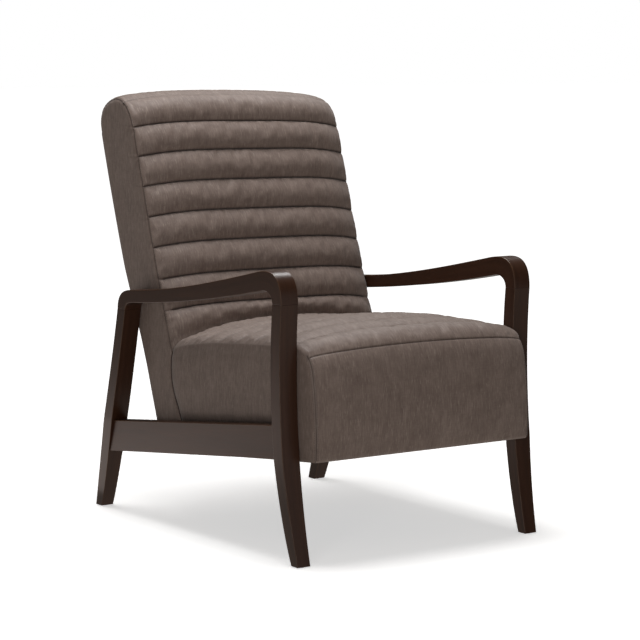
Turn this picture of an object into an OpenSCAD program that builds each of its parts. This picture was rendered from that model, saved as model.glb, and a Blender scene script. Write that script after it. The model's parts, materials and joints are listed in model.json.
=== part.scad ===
// Upholstered lounge chair: a bent wooden side frame on each side carries one
// upholstered body with a channelled seat and a channelled, leaning back.
// X runs across the chair, Y to the rear and Z up. Heights are above the floor.
// Side profiles are drawn as [y, z], with y measured from the front of the front feet.

/* [Overall] */
// Width over the outer faces of the wooden sides
overall_width = 660; // [620:5:740]
// Length on the floor, from the front feet's front to the rear feet's rear
base_length = 843; // [820:1:880]
// Thickness of the arms and legs across the chair
wood_width = 43; // [38:1:50]
// Gap between each wooden side and the upholstered body
side_gap = 2; // [1.5:0.5:4]

/* [Front legs] */
// Height of the joint between the arm and the front leg
front_joint_z = 541; // [525:1:570]
// Set-back of the leg's top from the front of its foot
front_set_back = 44; // [36:1:50]
// Bow of the leg to the rear at its knee
front_leg_bow = 14; // [10:1:18]
// Depth of arm and leg at their joint
front_joint_depth = 33; // [30:1:38]
// Depth of the front foot
front_foot_depth = 25; // [21:1:30]
// Width of the front foot
front_foot_width = 32; // [27:1:38]

/* [Rear legs] */
// Height of the joint between the arm and the rear leg
rear_joint_z = 476; // [465:1:490]
// Distance from the front feet's front to the rear leg's top
rear_joint_y = 679; // [670:1:695]
// Depth of arm and leg at their joint
rear_joint_depth = 34; // [30:1:38]
// Depth of the rear foot
rear_foot_depth = 27; // [23:1:31]
// Width of the rear foot
rear_foot_width = 31; // [26:1:36]
// Height at which the legs start to narrow towards their feet
taper_start_z = 215; // [190:5:240]

/* [Arms] */
// Rise of the arm's front bend above its joint
arm_rise = 66; // [60:1:80]
// Thickness of the arm behind its front bend
arm_front_thickness = 41; // [34:1:46]
// Rise of the arm's rear bend above its joint
arm_rear_rise = 46; // [42:1:56]
// Thickness of the arm at its rear bend
arm_rear_thickness = 28; // [24:1:32]

/* [Side rails] */
// Height of the wooden side rail
rail_height = 71; // [60:1:78]
// Inset of the rail's outer face from the leg's
rail_inset = 7; // [4:1:12]
// Slope of rails and seat box down to the rear, in degrees
deck_slope = 6.5; // [5.5:0.1:7.5]
// Height of the rail's underside above the upholstery's
rail_lift = 8; // [6:1:14]

/* [Seat] */
// Height of the upholstered body's underside at its front
underside_z = 219; // [205:1:235]
// Height of the seat's side above the body's underside, at the front
seat_side_height = 231; // [220:1:240]
// Distance that the front panel stands before the front feet
seat_overhang = 12; // [6:1:20]
// Distance from the front panel to the flat of the seat
seat_front_round = 70; // [60:1:80]
// Crown of the seat in its middle
seat_crown = 46; // [34:1:50]
// Spacing of the sewn channels, along the cover
channel_pitch = 71; // [66:0.5:76]
// Height of the seat's channels above their seams
seat_relief = 7; // [4:0.5:10]
// Distance that the seat's side seams are drawn in from its side panels
seat_draw = 4; // [2:0.5:6]

/* [Back] */
// Lean of the back from upright, in degrees
back_lean = 19.5; // [18.5:0.1:20.5]
// Distance from the front feet's front to the back's lower front edge
back_foot_y = 546; // [540:1:550]
// Height of the back's lower front edge
back_foot_z = 396; // [390:1:402]
// Height of the back along its lean
back_height = 606; // [590:1:630]
// Thickness of the back
back_thickness = 138; // [134:1:144]
// Crown of the back's front
back_crown = 28; // [20:1:34]
// Crown of the back's top edge
top_crown = 24; // [14:1:28]
// Distance from the back's top down to its first full-width seam
top_seam_drop = 94; // [88:1:100]
// Height of the back's channels above their seams
back_relief = 9; // [5:0.5:12]
// Distance that the back's side seams are drawn in from its side panels
back_draw = 2; // [1:0.5:4]

/* [Inner frame] */
// Thickness of the seat box's boards
board = 22; // [18:1:25]
// Height of the seat box's boards
board_height = 95; // [85:1:100]
// Padding between the seat box and the side panels' outside
side_pad = 11; // [9:1:14]
// Distance from the front feet's front to the seat box's front
box_front_y = 14; // [10:1:20]
// Distance from the seat box's rear end to the body's rear bottom edge
rear_wrap = 9; // [8:0.5:12]
// Distance from the seat box's front to its rear cross board
rear_board_y = 430; // [415:1:440]
// Depth of the back's posts
post_depth = 44; // [38:1:46]
// Width of the back's posts
post_width = 30; // [25:1:36]
// Number of seat springs
spring_count = 5; // [4:1:6]
// Number of webbing bands in the back
web_count = 6; // [4:1:7]

/* [Fasteners] */
// Diameter of the dowels in the wooden sides
dowel_d = 10; // [8:1:12]
// Diameter of the bolts that hold the body to the sides
bolt_d = 8; // [6:1:10]
// Height of the glides under the feet
glide_height = 1.5; // [1.5:0.5:4]
// Diameter of the glides
glide_d = 18; // [14:1:20]

/* [Hidden] */

wood_colour = "#33221f";
cover_colour = "#5f5550";
beech_colour = "#c9a878";
steel_colour = "#9a9c9e";
foam_colour = "#e6dcb8";
felt_colour = "#77716a";
black_colour = "#26262a";

$fn = 48;
steps = 14;
fit_gap = 0.3;
glue_gap = 0.1;
half_width = overall_width / 2;
inner_half = half_width - wood_width;
body_half = inner_half - side_gap;

// Curves
function bezier(p0, p1, p2, p3, n = steps) = [
    for (i = [0:n])
        let (t = i / n, u = 1 - t)
        u * u * u * p0 + 3 * u * u * t * p1 + 3 * u * t * t * p2 + t * t * t * p3
];
function reversed(list) = [for (i = [len(list) - 1:-1:0]) list[i]];
function turn(v) = [v[1], -v[0]];
function unit(v) = v / norm(v);

// Height of the body's underside and of the wooden rail's edges at a distance y
slope = tan(deck_slope);
function underside(y) = underside_z - slope * y;
function rail_bottom(y) = underside(y) + rail_lift;
function rail_top(y) = rail_bottom(y) + rail_height;

// Outlines of the wooden side, each edge from the floor up
front_top = [front_set_back, front_joint_z];
front_edge = bezier([0, glide_height],
    [front_set_back + 2, 0.35 * front_joint_z],
    [front_set_back + front_leg_bow, 0.684 * front_joint_z],
    front_top);
front_leg_rear_edge = bezier([front_foot_depth, glide_height],
    [front_set_back + front_joint_depth - front_leg_bow / 2, 0.222 * front_joint_z],
    [front_set_back + front_joint_depth + 1.5 * front_leg_bow, 0.647 * front_joint_z],
    front_top + [front_joint_depth, 0]);
rear_top = [rear_joint_y, rear_joint_z];
rear_toe = base_length - rear_foot_depth;
rear_kick = base_length - rear_joint_y;
rear_leg_front_edge = bezier([rear_toe, glide_height],
    [rear_toe - 0.31 * rear_kick, 0.252 * rear_joint_z],
    [rear_joint_y + 0.24 * rear_kick, 0.65 * rear_joint_z],
    rear_top);
rear_leg_rear_edge = bezier([base_length, glide_height],
    [base_length - 0.21 * rear_kick, 0.252 * rear_joint_z],
    [rear_joint_y + rear_joint_depth + 0.2 * rear_kick, 0.69 * rear_joint_z],
    rear_top + [rear_joint_depth, 0]);
front_leg_outline = concat(front_edge, reversed(front_leg_rear_edge));
rear_leg_outline = concat(rear_leg_front_edge, reversed(rear_leg_rear_edge));
function edge_y(edge, z) = lookup(z, [for (p = edge) [p[1], p[0]]]);

// Outline of the arm: up the front bend, along the top, down the rear bend and back below
bend_reach = 56;
apex = front_top + [bend_reach, arm_rise];
shoulder = apex + [40, -5];
heel_top = rear_top + [rear_joint_depth - 53, arm_rear_rise];
heel_under = rear_top + [-29, arm_rear_rise - arm_rear_thickness];
bend_under = front_top + [front_joint_depth + 35, arm_rise - arm_front_thickness];
arm_top_run = heel_top - shoulder;
arm_under_run = bend_under - heel_under;
arm_outline = concat(
    bezier(front_top, front_top + [0, 0.667 * arm_rise], apex - [0.68 * bend_reach, 0], apex, 10),
    bezier(apex, apex + [15, 0], shoulder + [-12, 2.5], shoulder, 4),
    bezier(shoulder, shoulder + [0.31 * arm_top_run[0], 0.41 * arm_top_run[1]],
        heel_top + [-0.35 * arm_top_run[0], -0.15 * arm_top_run[1]], heel_top, 12),
    bezier(heel_top, heel_top + [35, -3], rear_top + [rear_joint_depth - 1, 29],
        rear_top + [rear_joint_depth, 0], 8),
    bezier(rear_top, rear_top + [-2, 13], heel_under + [18, -1.5], heel_under, 6),
    bezier(heel_under, heel_under + [0.28 * arm_under_run[0], 0.15 * arm_under_run[1]],
        bend_under + [-0.35 * arm_under_run[0], -0.51 * arm_under_run[1]], bend_under, 12),
    bezier(bend_under, bend_under + [-17, 2], front_top + [front_joint_depth + 2, 19],
        front_top + [front_joint_depth, 0], 6));

// Points of the upholstered forms. A form is a loft: rings of [y, z] points at places
// across the chair, closed by side panels that stand a little proud of the seams.
rings = 7;
places = [for (i = [-rings:rings]) sin(90 * i / rings)];
function crown_share(u) = 1 - pow(abs(u), 4);
function full_share(u) = pow(crown_share(u), 0.6);
function edge_share(u) = 0.6 * (1 - pow(abs(u), 40)) + 0.4 * (1 - u * u);
function puff(f) = pow(sin(180 * f), 0.7);
function relief_share(u) = 0.3 + 0.7 * crown_share(u);
channel_marks = [0, 0.18, 0.5, 0.82];
function run_lengths(path) = [
    for (i = 0, s = 0; i < len(path); s = s + (i + 1 < len(path) ? norm(path[i + 1] - path[i]) : 0), i = i + 1) s
];
function table(path, lengths, axis) = [for (i = [0:len(path) - 1]) [lengths[i], path[i][axis]]];
function along(tables, a) = [lookup(a, tables[0]), lookup(a, tables[1])];
function outward(tables, a) = -turn(unit(along(tables, a + 3) - along(tables, a - 3)));

// The back in its own lean: s runs up along it and t to the rear of its front seams
up_dir = [sin(back_lean), cos(back_lean)];
rear_dir = [cos(back_lean), -sin(back_lean)];
back_foot = [back_foot_y, back_foot_z];
function on_back(t, s) = back_foot + t * rear_dir + s * up_dir;
function to_world(ts) = on_back(ts[0], ts[1]);

// The seam where seat and back meet: down from the crevice to the body's underside.
// Each row holds a side point and how far it moves in the middle of the chair.
crevice = back_foot + [2, -1];
crevice_shift = [-20, seat_crown + 11];
contact_bottom_y = back_foot_y - 68;
contact_rows = [
    [crevice, crevice_shift],
    [crevice + [8, -20], [-20, seat_crown]],
    [crevice + [9, -44], [-16, 0.5 * seat_crown]],
    [crevice + [6, -74], [-10, 0.15 * seat_crown]],
    [crevice + [-5, -102], [-4, 0]],
    [crevice + [-27, -141], [0, 0]],
    [crevice + [-48, -185], [0, 0]],
    [[contact_bottom_y, underside(contact_bottom_y)], [0, 0]]
];
contact_gap = 0.4;
function contact_ring(u, side) = [
    for (row = contact_rows)
        row[0] + [crown_share(u) * row[1][0] + side * contact_gap, (crown_share(u) + edge_share(u)) / 2 * row[1][1]]
];

// Seat side outline, from the front bottom edge up and back to the crevice
seat_front_y = -seat_overhang;
seat_top_z = underside_z + seat_side_height;
seat_shoulder = [seat_front_y + 13, seat_top_z - 50];
seat_flat = [seat_front_y + seat_front_round, seat_top_z];
seat_path = concat(
    [[seat_front_y + 5, underside_z + 0.5]],
    bezier([seat_front_y, underside_z + 5], [seat_front_y - 3, underside_z + 56],
        seat_shoulder + [-11, -55], seat_shoulder, 10),
    bezier(seat_shoulder, seat_shoulder + [6, 28], seat_flat + [-36, -4], seat_flat, 10),
    bezier(seat_flat, seat_flat + [140, -9], crevice + [-97, 34], crevice, 14));
seat_run = run_lengths(seat_path);
seat_tables = [table(seat_path, seat_run, 0), table(seat_path, seat_run, 1)];
seat_total = seat_run[len(seat_run) - 1];
front_seam_run = 221;
seat_channels = floor((seat_total - front_seam_run - 12) / channel_pitch);
seat_tail_run = front_seam_run + seat_channels * channel_pitch;
seat_marks = concat(
    [for (a = [0, 7, 66, 125, 176, 202]) [a, 0]],
    [for (k = [0:seat_channels - 1], f = channel_marks) [front_seam_run + (k + f) * channel_pitch, puff(f)]],
    [for (f = [0, 0.45]) [seat_tail_run + f * (seat_total - seat_tail_run), 0.7 * puff(f)]]);
seat_rise = [
    [0, 0], [66, 0], [176, 0.2], [front_seam_run, 0.42],
    [front_seam_run + channel_pitch, 0.5], [front_seam_run + 2 * channel_pitch, 0.7],
    [front_seam_run + 3 * channel_pitch, 0.82], [front_seam_run + 4.5 * channel_pitch, 0.72],
    [seat_total - 80, 0.8], [seat_total, crevice_shift[1] / seat_crown]
];
seat_push = [
    [0, 0], [66, -8], [125, -11], [front_seam_run, -14], [front_seam_run + channel_pitch, -3],
    [front_seam_run + 2 * channel_pitch, 0], [seat_total - 120, 0], [seat_total, crevice_shift[0]]
];
edge_blend = [[0, 0], [front_seam_run, 0], [front_seam_run + channel_pitch, 1], [seat_total, 1]];
function seat_share(u, a) =
    let (f = lookup(a, edge_blend)) (1 - f) * crown_share(u) + f * edge_share(u);
function seat_point(u, a, lift) =
    along(seat_tables, a)
    + [crown_share(u) * lookup(a, seat_push), seat_share(u, a) * seat_crown * lookup(a, seat_rise)]
    + seat_relief * lift * relief_share(u) * outward(seat_tables, a);
function seat_ring(u) = concat([for (m = seat_marks) seat_point(u, m[0], m[1])], contact_ring(u, -1));
seat_insets = concat([3, 4, 7, 7, 8, 9], [for (i = [6:len(seat_marks) - 1]) 10], [for (row = contact_rows) 3]);

// Back front outline, from the crevice up and over the top corner
back_corner_s = back_height - 106;
back_front_path = concat(
    bezier([8, 0], [2, 120], [-3, 300], [-3, back_corner_s], 10),
    bezier([-3, back_corner_s], [-3, back_corner_s + 52], [12, back_height - 6], [62, back_height], 12));
back_top_path = bezier([62, back_height], [110, back_height + 5],
    [back_thickness, back_height - 6], [back_thickness, back_height - 58], 6);
back_low_t = back_thickness - 12;
back_rear_path = [
    [back_thickness, 0.66 * back_height], [back_thickness, 0.38 * back_height],
    [back_thickness - 6, 0.25 * back_height], [back_low_t, 0.1 * back_height], [back_low_t, -0.16 * back_height]
];
back_run = run_lengths(back_front_path);
back_tables = [table(back_front_path, back_run, 0), table(back_front_path, back_run, 1)];
first_seam_run = back_height - top_seam_drop;
back_channels = floor((first_seam_run - 60) / channel_pitch);
lowest_seam_run = first_seam_run - back_channels * channel_pitch;
back_marks = concat(
    [for (k = [0:back_channels], f = channel_marks) [lowest_seam_run + (k + f) * channel_pitch, puff(f)]],
    [[lowest_seam_run + (back_channels + 1) * channel_pitch, 0]]);
arch = 0.23;
function back_shift(u, n) =
    crown_share(u) * [back_crown * n[0], arch * back_crown * (1 - n[1])] + full_share(u) * [0, top_crown * max(0, n[1])];
function crevice_run(u) = 3 + 23 * (crown_share(u) + edge_share(u));
function back_point(u, a, lift) =
    let (n = outward(back_tables, a))
    to_world(along(back_tables, a) + back_shift(u, n) + back_relief * lift * relief_share(u) * n);
function back_front_ring(u) = concat(
    [for (f = [0.35, 0.7]) back_point(u, crevice_run(u) + (lowest_seam_run - crevice_run(u)) * f, puff(f))],
    [for (m = back_marks) back_point(u, m[0], m[1])]);
function back_rear_ring(u) = concat(
    [for (i = [0:len(back_top_path) - 1])
        to_world(back_top_path[i] + full_share(u) * top_crown * [0, cos(90 * pow(i / (len(back_top_path) - 1), 2))])],
    [for (p = back_rear_path) to_world(p)]);
// Rear bottom edge: where the back's rear face meets the sloping underside
rear_face = on_back(back_low_t, 0);
rear_bottom_y = (rear_face[0] * cos(back_lean) / sin(back_lean) - rear_face[1] + underside_z)
    / (cos(back_lean) / sin(back_lean) + slope);
rear_bottom = [rear_bottom_y, underside(rear_bottom_y)];
function back_ring(u) = concat(
    reversed(contact_ring(u, 1)), back_front_ring(u), back_rear_ring(u), [rear_bottom]);
back_insets = concat([for (row = contact_rows) 3], [4, 5], [for (m = back_marks) 6],
    [for (p = back_top_path) 7], [for (p = back_rear_path) 4], [3]);

// Lofts
function inset_ring(ring, insets) = let (n = len(ring)) [
    for (i = [0:n - 1]) ring[i] + insets[i] * turn(unit(ring[(i + 1) % n] - ring[(i + n - 1) % n]))
];
function at_x(x, ring) = [for (p = ring) [x, p[0], p[1]]];
function loft_points(all_rings, insets, seam_half) =
    let (last = len(places) - 1)
    concat(
        at_x(-body_half, inset_ring(all_rings[0], insets)),
        [for (j = [0:last]) each at_x(seam_half * places[j], all_rings[j])],
        at_x(body_half, inset_ring(all_rings[last], insets)));
function loft_faces(n, rows, flip) = concat(
    [[for (i = [n - 1:-1:0]) i]],
    [for (j = [0:rows - 2], i = [0:n - 1])
        let (a = j * n + i, b = j * n + (i + 1) % n)
        each flip ? [[a, b, a + n], [b, b + n, a + n]] : [[a, b, b + n], [a, b + n, a + n]]],
    [[for (i = [0:n - 1]) n * (rows - 1) + i]]);
seat_rings = [for (u = places) seat_ring(u)];
back_rings = [for (u = places) back_ring(u)];
module loft(all_rings, insets, draw, flip) {
    polyhedron(points = loft_points(all_rings, insets, body_half - draw),
        faces = loft_faces(len(all_rings[0]), len(places) + 2, flip), convexity = 10);
}

// The model's own Y origin is the middle of its overall length
front_most = min([for (ring = seat_rings, p = ring) p[0]]);
rear_most = max(base_length, max([for (ring = back_rings, p = ring) p[0]]));
y_middle = (front_most + rear_most) / 2;
module place() {
    translate([0, -y_middle, 0]) children();
}
// Extrudes a side profile of [y, z] points between two places across the chair
module across(x0, x1) {
    translate([x0, 0, 0]) rotate([90, 0, 90]) linear_extrude(x1 - x0) children();
}
// Places a part drawn on the sloping deck: y along it and z square to it
module deck() {
    translate([0, 0, underside_z]) rotate([-deck_slope, 0, 0]) children();
}
// Places a part drawn in the back's lean: y is t and z is s
module leaning() {
    translate([0, back_foot_y, back_foot_z]) rotate([-back_lean, 0, 0]) children();
}
module both_sides() {
    children();
    mirror([1, 0, 0]) children();
}

// Wooden sides, drawn for the right-hand side
rail_outer = half_width - rail_inset;
rail_mid_x = (inner_half + rail_outer) / 2;
dowel_length = 46;
module arm_dowel_set(grow) {
    spread = wood_width / 4;
    half_length = dowel_length / 2 + grow * 5;
    for (side = [-1, 1]) {
        translate([half_width - wood_width / 2 + side * spread,
            front_set_back + front_joint_depth / 2, front_joint_z - half_length])
            cylinder(d = dowel_d + 2 * grow, h = 2 * half_length);
        translate([half_width - wood_width / 2 + side * spread,
            rear_joint_y + rear_joint_depth / 2 + 1, rear_joint_z - half_length / 1.3])
            cylinder(d = dowel_d + 2 * grow, h = half_length * 1.4);
    }
}
module rail_dowel_set(grow) {
    half_length = dowel_length / 2 + grow * 5;
    for (side = [-1, 1]) {
        front_z = rail_bottom(front_set_back + front_joint_depth) + rail_height * (0.5 + 0.26 * side);
        rear_z = rail_bottom(rear_joint_y + 0.46 * rear_kick) + rail_height * (0.5 + 0.26 * side);
        translate([rail_mid_x, edge_y(front_leg_rear_edge, front_z), front_z])
            rotate([-90, 0, 0]) translate([0, 0, -half_length * 0.95])
            cylinder(d = dowel_d + 2 * grow, h = 1.95 * half_length);
        translate([rail_mid_x, edge_y(rear_leg_front_edge, rear_z), rear_z])
            rotate([-90, 0, 0]) translate([0, 0, -half_length])
            cylinder(d = dowel_d + 2 * grow, h = 1.95 * half_length);
    }
}
module taper_profile(foot_width, top_z) {
    rotate([90, 0, 0]) translate([0, 0, -base_length - 10]) linear_extrude(base_length + 20)
        polygon([
            [inner_half, top_z], [half_width, top_z], [half_width, taper_start_z],
            [inner_half + foot_width, 0], [inner_half, 0]
        ]);
}
glide_pin_d = 4;
glide_pin_length = 12;
front_foot_centre = [inner_half + front_foot_width / 2, front_foot_depth / 2];
rear_foot_centre = [inner_half + rear_foot_width / 2, base_length - rear_foot_depth / 2];
module foot_holes(grow) {
    for (c = [front_foot_centre, rear_foot_centre])
        translate([c[0], c[1], glide_height])
            cylinder(d = glide_pin_d + 2 * grow, h = glide_pin_length + grow);
}
module right_front_leg_solid() {
    difference() {
        intersection() {
            across(inner_half, half_width) polygon(front_leg_outline);
            taper_profile(front_foot_width, front_joint_z);
        }
        arm_dowel_set(glue_gap);
        rail_dowel_set(glue_gap);
        foot_holes(glue_gap);
    }
}
module right_rear_leg_solid() {
    difference() {
        intersection() {
            across(inner_half, half_width) polygon(rear_leg_outline);
            taper_profile(rear_foot_width, rear_joint_z);
        }
        arm_dowel_set(glue_gap);
        rail_dowel_set(glue_gap);
        foot_holes(glue_gap);
    }
}
module right_arm_solid() {
    difference() {
        across(inner_half, half_width) polygon(arm_outline);
        arm_dowel_set(glue_gap);
    }
}
bolt_runs = [112, 310, 520];
bolt_z = rail_lift + rail_height / 2;
insert_length = 18;
insert_d = bolt_d + 5;
module at_bolts() {
    deck() for (run = bolt_runs) translate([0, run, bolt_z]) rotate([0, 90, 0]) children();
}
module right_side_rail_solid() {
    front_y = front_set_back + front_joint_depth / 2;
    rear_y = rear_joint_y + 0.35 * rear_kick;
    difference() {
        across(inner_half, rail_outer) difference() {
            polygon([
                [front_y, rail_bottom(front_y)], [rear_y + 30, rail_bottom(rear_y + 30)],
                [rear_y + 20, rail_top(rear_y + 20)], [front_y, rail_top(front_y)]
            ]);
            polygon(front_leg_outline);
            polygon(rear_leg_outline);
            polygon(concat([rear_leg_front_edge[0], [base_length + 50, 0], [base_length + 50, rear_joint_z]],
                reversed(rear_leg_front_edge)));
        }
        rail_dowel_set(glue_gap);
        at_bolts() translate([0, 0, inner_half - 1]) cylinder(d = insert_d + 2 * glue_gap, h = insert_length + 1.5);
    }
}
module left_arm() { color(wood_colour) place() mirror([1, 0, 0]) right_arm_solid(); }
module right_arm() { color(wood_colour) place() right_arm_solid(); }
module left_front_leg() { color(wood_colour) place() mirror([1, 0, 0]) right_front_leg_solid(); }
module right_front_leg() { color(wood_colour) place() right_front_leg_solid(); }
module left_rear_leg() { color(wood_colour) place() mirror([1, 0, 0]) right_rear_leg_solid(); }
module right_rear_leg() { color(wood_colour) place() right_rear_leg_solid(); }
module left_side_rail() { color(wood_colour) place() mirror([1, 0, 0]) right_side_rail_solid(); }
module right_side_rail() { color(wood_colour) place() right_side_rail_solid(); }
module arm_dowels() { color(beech_colour) place() both_sides() arm_dowel_set(0); }
module rail_dowels() { color(beech_colour) place() both_sides() rail_dowel_set(0); }
module foot_glides() {
    color(black_colour) place() both_sides()
        for (c = [front_foot_centre, rear_foot_centre]) translate([c[0], c[1], 0]) {
            cylinder(d1 = glide_d - 2, d2 = glide_d, h = 1);
            translate([0, 0, 1]) cylinder(d = glide_d, h = glide_height - 1);
            cylinder(d = glide_pin_d, h = glide_height + glide_pin_length);
        }
}

// Seat box
box_half = body_half - side_pad;
box_length = rear_bottom_y / cos(deck_slope) - rear_wrap - box_front_y;
box_bottom = 6;
box_top = box_bottom + board_height;
seat_dowel_d = 8;
seat_dowel_length = 50;
module seat_dowel_set(grow) {
    deck() both_sides()
        for (y = [box_front_y + board / 2, box_front_y + rear_board_y + board / 2], z = [0.25, 0.75])
            translate([box_half - 14, y, box_bottom + z * board_height])
                rotate([0, -90, 0]) cylinder(d = seat_dowel_d + 2 * grow, h = seat_dowel_length - 14 + 3 * grow);
}
module frame_bolt_holes(d) {
    at_bolts() translate([0, 0, box_half - board - 1]) cylinder(d = d, h = board + 2);
}
post_outer = box_half - board;
post_inner = post_outer - post_width;
post_front_t = 72;
post_rear_t = post_front_t + post_depth;
post_bolt_s = [-190, -152];
post_head = 2.5;
module at_post_bolts() {
    leaning() for (s = post_bolt_s)
        translate([0, post_front_t + 0.4 * post_depth, s]) rotate([0, 90, 0]) children();
}
module right_board_solid() {
    difference() {
        deck() translate([post_outer, box_front_y, box_bottom]) cube([board, box_length, board_height]);
        seat_dowel_set(glue_gap);
        frame_bolt_holes(bolt_d + 1);
        at_post_bolts() {
            translate([0, 0, post_outer - 1]) cylinder(d = bolt_d + 1, h = board + 2);
            translate([0, 0, box_half - post_head - 0.2]) cylinder(d = 2.2 * bolt_d + 1, h = post_head + 1);
        }
    }
}
module seat_left_board() { color(beech_colour) place() mirror([1, 0, 0]) right_board_solid(); }
module seat_right_board() { color(beech_colour) place() right_board_solid(); }
module cross_board(y) {
    difference() {
        deck() translate([-post_outer, y, box_bottom]) cube([2 * post_outer, board, board_height]);
        seat_dowel_set(glue_gap);
    }
}
module seat_front_board() { color(beech_colour) place() cross_board(box_front_y); }
module seat_rear_board() { color(beech_colour) place() cross_board(box_front_y + rear_board_y); }
module seat_board_dowels() { color(beech_colour) place() seat_dowel_set(0); }
block_leg = 60;
block_height = 60;
module corner_blocks() {
    color(beech_colour) place() deck() both_sides() {
        translate([post_outer, box_front_y + board, box_bottom + 8])
            linear_extrude(block_height) polygon([[0, 0], [-block_leg, 0], [0, block_leg]]);
        translate([post_outer, box_front_y + rear_board_y, box_bottom + 8])
            linear_extrude(block_height) polygon([[0, 0], [-block_leg, 0], [0, -block_leg]]);
    }
}

// Seat springs: wire bent in flat waves between the front and rear boards
spring_wire = 4;
spring_wave = 24;
spring_half_width = 24;
spring_z = box_top + spring_wire / 2;
spring_start = box_front_y + board / 2;
spring_end = box_front_y + rear_board_y + board / 2;
spring_bends = 2 * floor((spring_end - spring_start - 30) / spring_wave / 2);
spring_step = (spring_end - spring_start - 30) / spring_bends;
spring_route = concat(
    [[0, spring_start - 4], [0, spring_start + 9]],
    [for (k = [0:spring_bends - 1], f = [0.2, 0.5, 0.8])
        [(k % 2 == 0 ? 1 : -1) * spring_half_width * (f == 0.5 ? 1 : 0.86), spring_start + 15 + (k + f) * spring_step]],
    [[0, spring_end - 9], [0, spring_end + 4]]);
wire_sides = 6;
function route_direction(route, i) = unit(route[min(i + 1, len(route) - 1)] - route[max(i - 1, 0)]);
function wire_points(route, z) = [
    for (i = [0:len(route) - 1], k = [0:wire_sides - 1])
        let (d = route_direction(route, i), side = [d[1], -d[0]], r = spring_wire / 2)
        [route[i][0] + r * cos(60 * k) * side[0], route[i][1] + r * cos(60 * k) * side[1], z + r * sin(60 * k)]
];
function wire_faces(rows) = concat(
    [[for (k = [0:wire_sides - 1]) k]],
    [for (j = [0:rows - 2], k = [0:wire_sides - 1])
        let (a = j * wire_sides + k, b = j * wire_sides + (k + 1) % wire_sides)
        each [[a, a + wire_sides, b], [b, a + wire_sides, b + wire_sides]]],
    [[for (k = [wire_sides - 1:-1:0]) (rows - 1) * wire_sides + k]]);
spring_spacing = 2 * (post_outer - 20) / spring_count;
function spring_x(k) = (k - (spring_count - 1) / 2) * spring_spacing;
module seat_springs() {
    color(steel_colour) place() deck()
        for (k = [0:spring_count - 1]) translate([spring_x(k), 0, 0])
            polyhedron(points = wire_points(spring_route, spring_z), faces = wire_faces(len(spring_route)), convexity = 12);
}
clip_width = 14;
clip_length = 10;
module spring_clips() {
    color(steel_colour) place() deck()
        for (k = [0:spring_count - 1], y = [spring_start - 4, spring_end - 6])
            translate([spring_x(k) - clip_width / 2, y, box_top]) difference() {
                cube([clip_width, clip_length, spring_wire + 2.4]);
                translate([clip_width / 2 - spring_wire / 2 - 0.4, -1, -1])
                    cube([spring_wire + 0.8, clip_length + 2, spring_wire + 1.4]);
            }
}
pad_thickness = 4;
pad_z = box_top + spring_wire + 2.4 + fit_gap;
foam_half = box_half - 3;
module deck_pad() {
    color(felt_colour) place() deck()
        translate([-foam_half, box_front_y + 2, pad_z]) cube([2 * foam_half, rear_board_y + board, pad_thickness]);
}

// Seat foam: a wedge of foam under the channelled cover
cover_thickness = 24;
foam_front_y = box_front_y;
foam_rear_y = crevice[0] - 24;
function cavity_top(y) = seat_top_z - cover_thickness - 0.086 * (y - seat_flat[0]);
function deck_height(z, y) = underside(y) + z / cos(deck_slope);
cavity_outline = [
    [foam_front_y - fit_gap, underside(foam_front_y) - 20],
    [foam_front_y - fit_gap, cavity_top(foam_front_y) - 34],
    [foam_front_y + 36, cavity_top(foam_front_y + 36)],
    [foam_rear_y, cavity_top(foam_rear_y)],
    [foam_rear_y + 8, cavity_top(foam_rear_y) - 40],
    [foam_rear_y - 8, deck_height(box_top + 3, foam_rear_y - 8)],
    [foam_rear_y + 200, deck_height(box_top + 3, foam_rear_y + 200)],
    [foam_rear_y + 200, underside(foam_rear_y + 200) - 20]
];
foam_bottom = pad_z + pad_thickness + fit_gap;
module seat_foam() {
    inset = 1;
    color(foam_colour) place() across(-foam_half, foam_half) polygon([
        [foam_front_y + inset + 2, deck_height(foam_bottom, foam_front_y + inset + 2)],
        [foam_front_y + inset, cavity_top(foam_front_y) - 34 - inset],
        [foam_front_y + 36, cavity_top(foam_front_y + 36) - inset],
        [foam_rear_y - inset, cavity_top(foam_rear_y) - inset],
        [foam_rear_y + 8 - inset, cavity_top(foam_rear_y) - 40 - inset],
        [foam_rear_y - 8 - inset, deck_height(foam_bottom, foam_rear_y - 8)]
    ]);
}
spacer_d = 26;
module spacer_holes() {
    both_sides() at_bolts() translate([0, 0, box_half - 2]) cylinder(d = spacer_d + 2 * fit_gap, h = side_pad + 10);
}
module seat_cover() {
    color(cover_colour) place() difference() {
        loft(seat_rings, seat_insets, seat_draw, false);
        across(-box_half - fit_gap, box_half + fit_gap) polygon(cavity_outline);
        spacer_holes();
    }
}

// Back frame
post_top_s = back_height - 34;
deck_cut_depth = box_bottom;
module above_deck() {
    deck() translate([-half_width, 0, box_bottom]) cube([overall_width, 2 * base_length, 2 * base_length]);
}
rail_board = 22;
rail_t = post_front_t + 12;
rail_places = [
    [post_top_s - 60, 60], [0.45 * back_height, 60], [-40, 70]
];
module back_dowel_set(grow) {
    leaning() both_sides() for (r = rail_places, f = [0.27, 0.73])
        translate([post_inner + 22, rail_t + rail_board / 2, r[0] + f * r[1]])
            rotate([0, -90, 0]) cylinder(d = seat_dowel_d + 2 * grow, h = seat_dowel_length - 2 + 3 * grow);
}
module right_post_solid() {
    difference() {
        intersection() {
            leaning() translate([post_inner, post_front_t, -350]) cube([post_width, post_depth, post_top_s + 350]);
            above_deck();
        }
        back_dowel_set(glue_gap);
        at_post_bolts() translate([0, 0, post_inner - 1]) cylinder(d = bolt_d + 1, h = post_width + 2);
    }
}
module back_left_post() { color(beech_colour) place() mirror([1, 0, 0]) right_post_solid(); }
module back_right_post() { color(beech_colour) place() right_post_solid(); }
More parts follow.
